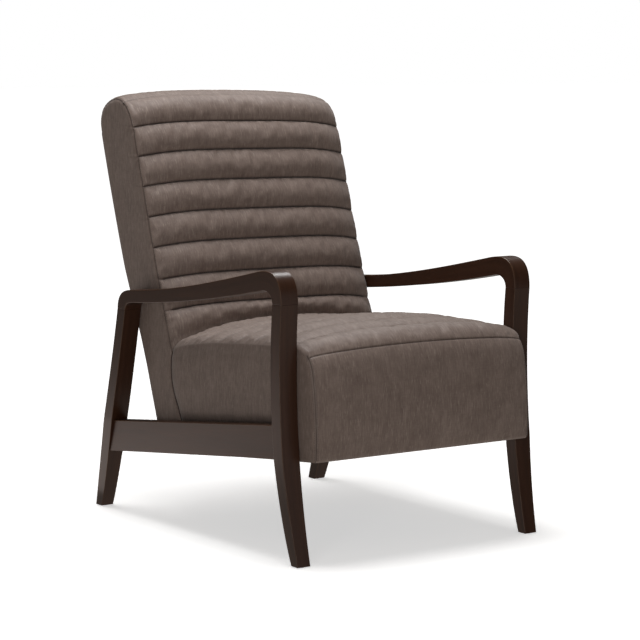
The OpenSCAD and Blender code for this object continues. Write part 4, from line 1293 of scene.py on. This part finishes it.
for name, node, outline, half in (
        ("seat_foam_firm", "seat_foam", seat_firm, FOAM_HALF),
        ("seat_foam_soft", "seat_foam", seat_soft, FOAM_HALF),
        ("back_foam_soft", "back_foam", [to_world(*p) for p in back_soft], POST_OUTER),
        ("back_foam_firm", "back_foam", [to_world(*p) for p in back_firm], POST_OUTER)):
    layer = dress(foam_layer(name, outline, half), foam_finish, node)


# %% Slabs with rolled edges
def slab(name, outer, inner, half, roll, step=8, offset=None):
    # outer and inner are side profiles in y, z; near its border the outer face rolls over to the inner one
    length = run_of(outer)[-1]
    runs = clustered(0, length, step)
    u = places_across(half, step)
    front = at_run(outer, runs)
    back = at_run(inner, runs / length * run_of(inner)[-1])
    edge = np.minimum(np.minimum(runs, length - runs)[:, None], half * (1 - np.abs(u)))
    share = 1 - np.sqrt(1 - (1 - np.clip(edge / roll, 0, 1)) ** 2)
    top = front[:, None] + share[..., None] * (back - front)[:, None]
    low = back[:, None] + 0 * top
    if offset is not None:
        facing = (front - back) / np.linalg.norm(front - back, axis=1)[:, None]
        move = offset(half * u[None, :] + 0 * edge, runs[:, None] + 0 * edge)[..., None] * facing[:, None]
        top, low = top + move, low + move
    rows, columns = edge.shape
    grids = [
        np.concatenate([half * u[None, :, None] + 0 * face[..., :1], face], -1).reshape(-1, 3)
        for face in (top, low)]
    faces = grid_faces(rows, columns)
    faces += [quad[::-1] for quad in grid_faces(rows, columns, rows * columns)]
    return mesh_object(name, np.vstack(grids), faces, merge=0.000002)


def join(name, pieces):
    shell = bmesh.new()
    for piece in pieces:
        shell.from_mesh(piece.data)
        discard(piece)
    whole = bpy.data.meshes.new(name)
    shell.to_mesh(whole)
    shell.free()
    return add_object(name, whole)


def deck_line(y0, y1, z):
    return np.array([on_deck(y0, z), on_deck(y1, z)])


# %% Felt pad on the springs
REAR_BOARD_Y = 430
PAD_FRONT = BOX_FRONT + 2
PAD_REAR = PAD_FRONT + REAR_BOARD_Y + BOARD
SPRING_COUNT = 5
SPRING_SPACING = 2 * (POST_OUTER - 20) / SPRING_COUNT


def pressed(x, run):
    # The felt lies on the springs and sinks a little between them
    return 0.15 * np.cos(2 * math.pi * x / SPRING_SPACING) - 0.15


felt_pad = dress(
    slab("felt_pad", deck_line(PAD_FRONT, PAD_REAR, BOX_INNER_TOP + PAD_THICKNESS),
         deck_line(PAD_FRONT, PAD_REAR, BOX_INNER_TOP), FOAM_HALF, 3, 12, pressed),
    felt_finish, "deck_pad")

# %% Webbing of the back
WEB_COUNT = 6
WEB_WIDTH = 50
WEB_LOW = 40
WEB_HIGH = POST_TOP - WEB_WIDTH - 10
web_lows = np.linspace(WEB_LOW, WEB_HIGH, WEB_COUNT)
bands = []
for low in web_lows:
    face = np.array([to_world(WEB_FRONT, low), to_world(WEB_FRONT, low + WEB_WIDTH)])
    rear = np.array([to_world(POST_FRONT, low), to_world(POST_FRONT, low + WEB_WIDTH)])
    bands.append(slab("band", face, rear, POST_OUTER, 1.0, 10))
webbing = dress(join("back_web_bands", bands), web_finish, "back_webbing")

# %% Cloth under the seat
DUST_INSET = 4
DUST_HALF = BOX_HALF - DUST_INSET
DUST_FRONT = BOX_FRONT + DUST_INSET
DUST_REAR = BOX_FRONT + BOX_LENGTH - DUST_INSET
DUST_LOW = BOX_BOTTOM - FIT - 1
STAPLE_GAP = 46


def sagging(x, run):
    # Tight over the boards, with a shallow belly between them and small gathers from staple to staple
    edge = np.minimum(np.minimum(run, DUST_REAR - DUST_FRONT - run), DUST_HALF - np.abs(x))
    belly = 2.2 * soft_step(BOARD, 150, edge)
    along = np.where(DUST_HALF - np.abs(x) < np.minimum(run, DUST_REAR - DUST_FRONT - run), run, x)
    gather = 0.35 * (0.5 - 0.5 * np.cos(2 * math.pi * along / STAPLE_GAP)) * np.exp(-((edge - 14) / 16) ** 2)
    return belly + gather


dust_cloth = dress(
    slab("dust_cloth", deck_line(DUST_FRONT, DUST_REAR, DUST_LOW),
         deck_line(DUST_FRONT, DUST_REAR, DUST_LOW + 1), DUST_HALF, 0.8, 9, sagging),
    cambric_finish, "dust_cover")

# %% Outside back panel
# The rear is a thin board, padded and covered. Its edges roll in, so that a fine line shows all round it.
def deck_z(points):
    return points[:, 0] * math.sin(DECK_SLOPE) + (points[:, 1] - UNDERSIDE_Z) * math.cos(DECK_SLOPE)


def down_to_box(t, s):
    world = np.stack(to_world(t, s), -1)
    return world[deck_z(world) > BOX_BOTTOM]


# The outer face follows the swell of the rear, and the inner one is the flat face of the board
panel_t, panel_s = even(panel_line, 320).T
panel_outer = down_to_box(np.interp(panel_s, back_rear[::-1, 1], back_rear[::-1, 0]), panel_s)
panel_inner = down_to_box(panel_t - PANEL_THICKNESS, panel_s)
rear_panel = slab("outside_back_padded", panel_outer, panel_inner, PANEL_HALF, 3.5, 9)

# %% [markdown]
# ## Seams
# Along a seam the cloth dives inwards and grows darker, because two layers meet there and light does not
# reach the bottom. The seam lines are read off the same functions as the surface. Each point near a side
# seam moves inwards along its normal, and each point keeps how near it is to a seam as an attribute,
# which the finish reads to paint that shade into the cloth's colour. The same attribute also paints shade
# along the line where seat and back meet at their sides, and where the seat's side dips behind the rail.

# %% Seam lines
def across_seam(surface, run, reach=1.0, count=140):
    return surface(np.array([float(run)]), np.zeros(1), np.linspace(-reach, reach, count))[0]


def side_seam(surface, start, end, side, step=4):
    runs = np.arange(start, end, step)
    return surface(runs.astype(float), np.zeros(len(runs)), np.array([float(side)]))[:, 0]


seat_channel_seams = [
    across_seam(seat_point, FRONT_SEAM + k * PITCH, 0.94 if k else 1.0) for k in range(seat_channels + 1)]
back_channel_seams = [
    across_seam(back_point, LOWEST_SEAM + k * PITCH, min(0.985, 0.93 + 0.03 * k))
    for k in range(back_channels)]
band_seam = across_seam(back_point, BAND_START)
seat_corner_seams = [side_seam(seat_point, 0, FRONT_SEAM + 20, side) for side in (-1, 1)]
back_side_seams = []
for side in (-1, 1):
    rising = side_seam(back_point, 0, front_total, side)
    over = back_top_point(np.array([float(side)]), 30)[:, 0]
    back_side_seams.append(np.vstack([rising, over]))
# Where the side panel dips behind the rail little light reaches it
rail_line_y = np.linspace(100, contact_bottom_y + 40, 60)
rail_shade_lines = [
    np.stack([side * (SEAT_SEAM_HALF + 4) + 0 * rail_line_y, rail_line_y,
              deck_height(RAIL_LIFT + RAIL_HEIGHT - 1, rail_line_y)], -1) for side in (-1, 1)]
# Where seat and back meet at their sides shade is painted into the cloth along the line between them
contact_shade_lines = [contact_face(np.array([float(side)]), SEAT_SEAM_HALF, 0, 60)[:, 0] for side in (-1, 1)]
print(len(seat_channel_seams) + len(back_channel_seams), "channel seams")


# %% Grooves, puckers and the seam attribute
def near(lines, points):
    # Distance to the nearest seam, and the run along it at that place, both in millimetres
    dense_lines = [dense(line) for line in lines]
    line_points = metres(np.vstack(dense_lines))
    runs = np.concatenate([run_of(line) for line in dense_lines])
    tree = KDTree(len(line_points))
    for i, p in enumerate(line_points):
        tree.insert(p, i)
    tree.balance()
    found = [tree.find(p) for p in points]
    return np.array([hit[2] for hit in found]) * 1000, runs[[hit[1] for hit in found]]


def pleats(run, place):
    # Small gathers of uneven length, as thread leaves them in a thick cloth
    fine = np.sin(run / 2.1 + 1.7 * np.sin(run / 19 + place))
    broad = np.sin(run / 7.3 + 2.1 * np.sin(run / 31 + 3 * place))
    return np.clip(fine * broad, 0, 1) ** 1.5


def puckers(ends, points, reach):
    # Where a seam stops, folds run out from its end like the rays of a star
    ends = metres(ends)
    depth = np.zeros(len(points))
    for k, end in enumerate(ends):
        step = (points - end) * 1000
        far = np.linalg.norm(step, axis=1)
        angle = np.arctan2(step[:, 2], step[:, 0])
        rays = np.clip(np.cos(5 * angle + 1.9 * k), 0, 1) ** 1.4
        depth = np.maximum(depth, rays * far / (far + 5) * np.exp(-(far / reach) ** 2))
    return depth


def finish_seams(piece, grooves, gathers, lines, ends=None, star=(0, 1)):
    # grooves: (seams, depth, width); gathers: (seams, depth, reach); lines: (seams, width, how dark the
    # painted shade is); ends: where seams stop; star: (depth, reach) of the folds there
    mesh = piece.data
    count = len(mesh.vertices)
    points = np.empty(count * 3)
    mesh.vertices.foreach_get("co", points)
    points = points.reshape(-1, 3)
    normals = np.empty(count * 3)
    mesh.vertex_normals.foreach_get("vector", normals)
    normals = normals.reshape(-1, 3)
    moved = points.copy()
    for seams, depth, width in grooves:
        distance, _ = near(seams, points)
        moved -= normals * (depth / 1000 * np.exp(-(distance / width) ** 2))[:, None]
    for seams, depth, reach in gathers:
        distance, run = near(seams, points)
        moved -= normals * (depth / 1000 * pleats(run, points[:, 2] * 9) * np.exp(-distance / reach))[:, None]
    if ends is not None:
        moved -= normals * (star[0] / 1000 * puckers(ends, points, star[1]))[:, None]
    dark = np.zeros(count)
    for seams, width, share in lines:
        distance, _ = near(seams, points)
        dark = np.maximum(dark, share * np.exp(-(distance / width) ** 2))
    mesh.vertices.foreach_set("co", moved.ravel())
    # The seam attribute holds painted shade: how much the finish darkens the cloth near each given line
    attribute = mesh.attributes.new("seam", "FLOAT", "POINT")
    attribute.data.foreach_set("value", dark.astype(np.float32))
    mesh.polygons.foreach_set("use_smooth", [True] * len(mesh.polygons))
    mesh.set_sharp_from_angle(angle=math.radians(60))
    mesh.update()


finish_seams(
    seat_cushion,
    [(seat_corner_seams, 1.2, 2.2), (seat_channel_seams[:1], 1.1, 1.8), (seat_channel_seams[1:], 1.3, 3.5)],
    [(seat_corner_seams, 0.5, 12), (seat_channel_seams[:1], 0.4, 10), (seat_channel_seams[1:], 0.7, 14)],
    [(seat_corner_seams, 1.4, 0.8), (seat_channel_seams[:1], 1.5, 0.5), (seat_channel_seams[1:], 2.6, 0.6),
     (contact_shade_lines, 2.5, 0.8), (rail_shade_lines, 9, 0.6)],
    np.array([seam[i] for seam in seat_channel_seams[1:] for i in (0, -1)]), (1.2, 26))
finish_seams(
    back_cushion,
    [(back_side_seams, 1.2, 2.2), (back_channel_seams, 2.0, 1.6), ([band_seam], 0.4, 1.6)],
    [(back_side_seams, 0.7, 14), (back_channel_seams, 0.8, 14)],
    [(back_side_seams, 1.5, 0.9), (back_channel_seams, 3.4, 0.6), ([band_seam], 1.6, 0.4),
     (contact_shade_lines, 2.5, 0.8)],
    np.array([seam[i] for seam in back_channel_seams for i in (0, -1)]), (1.6, 24))
for cushion, node in ((seat_cushion, "seat_cover"), (back_cushion, "back_cover")):
    dress(cushion, cover_finish, node)

# %% [markdown]
# ## Stitches and staples
# A lockstitch shows as a row of short thread humps, about 5 mm apart. Beside the corner seams the cover
# is topstitched, which keeps the seam allowance flat, and in the channels the thread lies at the bottom
# of the groove. Staples hold the webbing and the cloth under the seat. Both are one small form repeated
# along a line, so one Geometry Nodes tree lays either of them: it spaces points along the line, turns the
# form along it, and makes it real.

# %% A tree that lays small forms along a line
def row_tree(name, form_kind, form_inputs):
    tree = bpy.data.node_groups.new(name, "GeometryNodeTree")
    sockets = tree.interface
    sockets.new_socket("Line", in_out="INPUT", socket_type="NodeSocketGeometry")
    sockets.new_socket("Row", in_out="OUTPUT", socket_type="NodeSocketGeometry")
    for label in ("Spacing", "Length", "Width", "Height", "Unevenness"):
        sockets.new_socket(label, in_out="INPUT", socket_type="NodeSocketFloat")
    sockets.new_socket("Facing", in_out="INPUT", socket_type="NodeSocketVector")
    sockets.new_socket("Finish", in_out="INPUT", socket_type="NodeSocketMaterial")
    given = tree.nodes.new("NodeGroupInput").outputs
    line = add_node(tree, "GeometryNodeMeshToCurve", inputs={"Mesh": given["Line"]})
    spaced = add_node(tree, "GeometryNodeResampleCurve", {"mode": "LENGTH"}, {
        "Curve": line.outputs[0], "Length": given["Spacing"]})
    form = add_node(tree, form_kind, inputs=form_inputs)
    size = add_node(tree, "ShaderNodeCombineXYZ", inputs={
        "X": given["Length"], "Y": given["Width"], "Z": given["Height"]})
    sized = add_node(tree, "GeometryNodeTransform", inputs={
        "Geometry": form.outputs["Mesh"], "Scale": size.outputs[0]})
    tangent = add_node(tree, "GeometryNodeInputTangent")
    along = add_node(tree, "FunctionNodeAlignRotationToVector", {"axis": "X"}, {"Vector": tangent.outputs[0]})
    faced = add_node(tree, "FunctionNodeAlignRotationToVector", {"axis": "Z", "pivot_axis": "X"}, {
        "Rotation": along.outputs[0], "Vector": given["Facing"]})
    low = add_node(tree, "ShaderNodeMath", {"operation": "SUBTRACT"}, {0: 1.0, 1: given["Unevenness"]})
    high = add_node(tree, "ShaderNodeMath", {"operation": "ADD"}, {0: 1.0, 1: given["Unevenness"]})
    # Sockets 2 and 3 are the least and the most of a plain number, and 8 is the fixed seed
    uneven = add_node(tree, "FunctionNodeRandomValue", {"data_type": "FLOAT"}, {
        2: low.outputs[0], 3: high.outputs[0], 8: 7})
    laid = add_node(tree, "GeometryNodeInstanceOnPoints", inputs={
        "Points": spaced.outputs[0], "Instance": sized.outputs[0], "Rotation": faced.outputs[0],
        "Scale": uneven.outputs[1]})
    real = add_node(tree, "GeometryNodeRealizeInstances", inputs={"Geometry": laid.outputs[0]})
    finished = add_node(tree, "GeometryNodeSetMaterial", inputs={
        "Geometry": real.outputs[0], "Material": given["Finish"]})
    add_node(tree, "NodeGroupOutput", inputs={"Row": finished.outputs[0]})
    return tree


stitch_tree = row_tree("stitch_row", "GeometryNodeMeshUVSphere", {"Segments": 8, "Rings": 4, "Radius": 0.5})
staple_tree = row_tree("staple_row", "GeometryNodeMeshCube", {"Size": (1.0, 1.0, 1.0)})
print("trees:", stitch_tree.name, staple_tree.name)


# %% Rows along lines
def lay_rows(name, tree, lines, **settings):
    # lines are in metres; sizes and spacing too
    points, edges = [], []
    for line in lines:
        edges += [(len(points) + i, len(points) + i + 1) for i in range(len(line) - 1)]
        points += [tuple(p) for p in line]
    mesh = bpy.data.meshes.new(name)
    mesh.from_pydata(points, edges, [])
    piece = add_object(name, mesh)
    modifier = piece.modifiers.new("row", "NODES")
    modifier.node_group = tree
    for socket in tree.interface.items_tree:
        if socket.in_out == "INPUT" and socket.name in settings:
            modifier[socket.identifier] = settings[socket.name]
    return bake_modifiers(piece)


def skin_of(piece):
    mesh = piece.data
    return BVHTree.FromPolygons([v.co for v in mesh.vertices], [p.vertices for p in mesh.polygons])


def laid_on(skin, line, lift=0.0001):
    # Each point of a line in millimetres goes to the nearest place on the cover
    found = [skin.find_nearest(Vector(p)) for p in metres(line)]
    return np.array([place + normal * lift for place, normal, _, _ in found])


def border_of(half, start, end, inset):
    # A closed line inset from the edges of a slab, as the place across it and the run along it
    x, low, high = half - inset, start + inset, end - inset
    return dense(np.array([(-x, low), (x, low), (x, high), (-x, high), (-x, low)]), 4)


# %% Stitch rows of the covers
STITCH = {
    "Spacing": 0.005, "Length": 0.0038, "Width": 0.0009, "Height": 0.0009, "Unevenness": 0.08,
    "Facing": (0, 0, 1), "Finish": thread_finish,
}
TOPSTITCH = 3.6


def sew(name, rows):
    stitching = dress(lay_rows(name, stitch_tree, rows, **STITCH), thread_finish)


def beside(surface, seam_half, start, end, side, step=4):
    # A line on the front face, a topstitch's distance from the side seam
    runs = np.arange(start, end, step).astype(float)
    return surface(runs, np.zeros(len(runs)), np.array([side * (1 - TOPSTITCH / seam_half)]))[:, 0]


def behind(seam, side, out_x):
    # A line on the side panel, the same distance behind the seam
    tangent = np.gradient(seam[:, 1:], axis=0)
    tangent /= np.linalg.norm(tangent, axis=1)[:, None]
    inward = np.stack([tangent[:, 1], -tangent[:, 0]], -1)
    return np.column_stack([seam[:, 0] + side * out_x, seam[:, 1:] + TOPSTITCH * inward])


seat_skin, back_skin = skin_of(seat_cushion), skin_of(back_cushion)
seat_rows = [laid_on(seat_skin, dense(line, 4)) for line in seat_channel_seams]
back_rows = [laid_on(back_skin, dense(line, 4)) for line in back_channel_seams + [band_seam]]
for side, seam in zip((-1, 1), seat_corner_seams):
    seat_rows.append(laid_on(seat_skin, beside(seat_point, SEAT_SEAM_HALF, 8, FRONT_SEAM - 4, side)))
    seat_rows.append(laid_on(seat_skin, behind(seam, side, 3)[2:]))
for side in (-1, 1):
    rising = beside(back_point, BACK_SEAM_HALF, 12, front_total, side)
    over = back_top_point(np.array([side * (1 - TOPSTITCH / BACK_SEAM_HALF)]), 30)[:, 0]
    back_rows.append(laid_on(back_skin, np.vstack([rising, over])))
sew("seat_stitching", seat_rows)
sew("back_stitching", back_rows)

# %% Cover of the outside back, with its own topstitched border
BORDER_INSET = 5
border_line = border_of(PANEL_HALF, 0, run_of(panel_outer)[-1], BORDER_INSET)
border_points = np.column_stack([border_line[:, 0], at_run(panel_outer, border_line[:, 1])])
border_row = laid_on(skin_of(rear_panel), border_points)
dress(rear_panel, cover_finish, "outside_back_panel")
sew("outside_back_stitching", [border_row])

# %% Staples
STAPLE = {
    "Length": 0.010, "Width": 0.0012, "Height": 0.0007, "Unevenness": 0.0, "Finish": steel_finish,
}
STAPLE_INSET = 9
WEB_STAPLE_GAP = 15.8
POST_CENTRE = 20
frame_line = border_of(DUST_HALF, DUST_FRONT, DUST_REAR, STAPLE_INSET)
frame_points = np.array([(x, *on_deck(y, DUST_LOW)) for x, y in frame_line])
downward = (0, -math.sin(DECK_SLOPE), -math.cos(DECK_SLOPE))
dust_staples = lay_rows(
    "dust_cloth_staples", staple_tree, [laid_on(skin_of(dust_cloth), frame_points)],
    Spacing=STAPLE_GAP / 1000, Facing=downward, **STAPLE)
web_lines = []
for low in web_lows:
    for side in (-1, 1):
        ends = [to_world(WEB_FRONT, s) for s in (low + STAPLE_INSET, low + WEB_WIDTH - STAPLE_INSET)]
        web_lines.append(metres([(side * (POST_OUTER - POST_CENTRE), y, z) for y, z in ends]))
forward = (0, -math.cos(UP), math.sin(UP))
web_staples = lay_rows(
    "web_staples", staple_tree, web_lines, Spacing=WEB_STAPLE_GAP / 1000, Facing=forward, **STAPLE)
for staples in (dust_staples, web_staples):
    dress(staples, steel_finish)

# %% [markdown]
# ## The studio
# The chair stands on a plain white floor that runs out of sight. A large soft lamp hangs over it, so that
# whatever faces up is bright and each channel darkens towards its lower seam. The white floor throws light
# back up from below, and two weaker lamps, in front and low at the front left, open the shadows. Two more
# only shine on the lacquer, as a window and a pale wall would. The room around is dark, which keeps the
# stained wood deep in colour. The floor glows a little, and more so far out, to stay white there.

# %% Floor
FLOOR_REACH = 60000
floor_finish = simple_finish("pale_studio_floor", "#f4f3f2", "#f8f7f6", 400, 0.9, bump=0.0)
floor_shader = floor_finish.node_tree.nodes["Principled BSDF"]
floor_shader.inputs["Emission Color"].default_value = (1, 1, 1, 1)
floor_tree = floor_finish.node_tree
floor_place = add_node(floor_tree, "ShaderNodeTexCoord").outputs["Object"]
floor_far = add_node(floor_tree, "ShaderNodeVectorMath", {"operation": "LENGTH"}, {0: floor_place})
floor_glow = add_node(floor_tree, "ShaderNodeMapRange", {"interpolation_type": "SMOOTHSTEP"}, {
    "Value": floor_far.outputs["Value"], "From Min": 1.0, "From Max": 4.0, "To Min": 0.55, "To Max": 1.0})
floor_tree.links.new(floor_glow.outputs[0], floor_shader.inputs["Emission Strength"])
floor_shader.inputs["Specular IOR Level"].default_value = 0.0
floor_corners = [
    (x * FLOOR_REACH, y * FLOOR_REACH, 0) for x, y in ((-1, -1), (1, -1), (1, 1), (-1, 1))]
floor = mesh_object("studio_floor", floor_corners, [(0, 1, 2, 3)])
floor.data.materials.append(floor_finish)
# The floor shows and takes the shadow, while the sky alone decides what light comes from below
floor.visible_diffuse = False
floor.visible_glossy = False
print("floor laid")

# %% Lamps and sky
SKY_ABOVE = 0.17
SKY_LEVEL = 0.01
SKY_BELOW = 0.43
sky = bpy.data.worlds.new("studio_sky")
sky.use_nodes = True
sky_tree = sky.node_tree
sky_tree.nodes.clear()
sky_output = add_node(sky_tree, "ShaderNodeOutputWorld")
direction = add_node(sky_tree, "ShaderNodeTexCoord").outputs["Object"]
height = add_node(sky_tree, "ShaderNodeSeparateXYZ", inputs={0: direction}).outputs["Z"]
above = add_node(sky_tree, "ShaderNodeMapRange", inputs={
    "Value": height, "From Min": 0.0, "From Max": 1.0, "To Min": SKY_LEVEL, "To Max": SKY_ABOVE})
below = add_node(sky_tree, "ShaderNodeMapRange", inputs={
    "Value": height, "From Min": -0.25, "From Max": 0.0, "To Min": SKY_BELOW - SKY_LEVEL, "To Max": 0.0})
level = add_node(sky_tree, "ShaderNodeMath", {"operation": "ADD"}, {0: above.outputs[0], 1: below.outputs[0]})
# The backdrop that the camera sees is plain white, brighter than the light that falls on the chair
seen = add_node(sky_tree, "ShaderNodeLightPath").outputs["Is Camera Ray"]
strength = add_node(sky_tree, "ShaderNodeMix", {"data_type": "FLOAT"}, {
    0: seen, 2: level.outputs[0], 3: 1.0})
# Light that comes back from the floor is a little warm
tint = add_node(sky_tree, "ShaderNodeMix", {"data_type": "RGBA"}, {
    0: seen, 6: (1, 0.94, 0.87, 1), 7: (1, 1, 1, 1)})
backdrop = add_node(sky_tree, "ShaderNodeBackground", inputs={
    "Color": tint.outputs[2], "Strength": strength.outputs[0]})
sky_tree.links.new(backdrop.outputs[0], sky_output.inputs["Surface"])
bpy.context.scene.world = sky
bpy.context.scene.view_settings.view_transform = "Standard"


def soft_lamp(name, place, target, power, size):
    lamp_data = bpy.data.lights.new(name, "AREA")
    lamp_data.energy = power
    lamp_data.shape = "SQUARE"
    lamp_data.size = size
    lamp = add_object(name, lamp_data)
    lamp.location = place
    lamp.rotation_euler = (Vector(target) - Vector(place)).to_track_quat("-Z", "Y").to_euler()
    lamp.visible_camera = False
    print(name, power, "W")
    return lamp


soft_lamp("top_lamp", (-0.2, 0.27, 3.7), (0, 0, 0.5), 100, 1.8)
soft_lamp("front_fill", (0.9, -4.2, 0.8), (0, 0, 0.4), 10, 2.0)
# A low lamp at the front left lights the edge of the seat between its front and its side
soft_lamp("corner_fill", (-2.6, -2.8, 0.8), (0, 0, 0.4), 26, 1.4)
# A lamp high at the rear right only shines on the bends of the lacquered arms
bend_lamp = soft_lamp("bend_lamp", (1.35, 1.0, 2.7), (-0.3, -0.35, 0.55), 18, 0.8)
# A white board on the floor at the rear left gives the lacquered sides their low sheen
floor_board = soft_lamp("floor_board", (-1.0, 1.0, 0.02), (-1.0, 1.0, 2.0), 5.5, 1.3)
floor_board.data.color = (1.0, 0.84, 0.78)
for lamp in (bend_lamp, floor_board):
    lamp.visible_diffuse = False
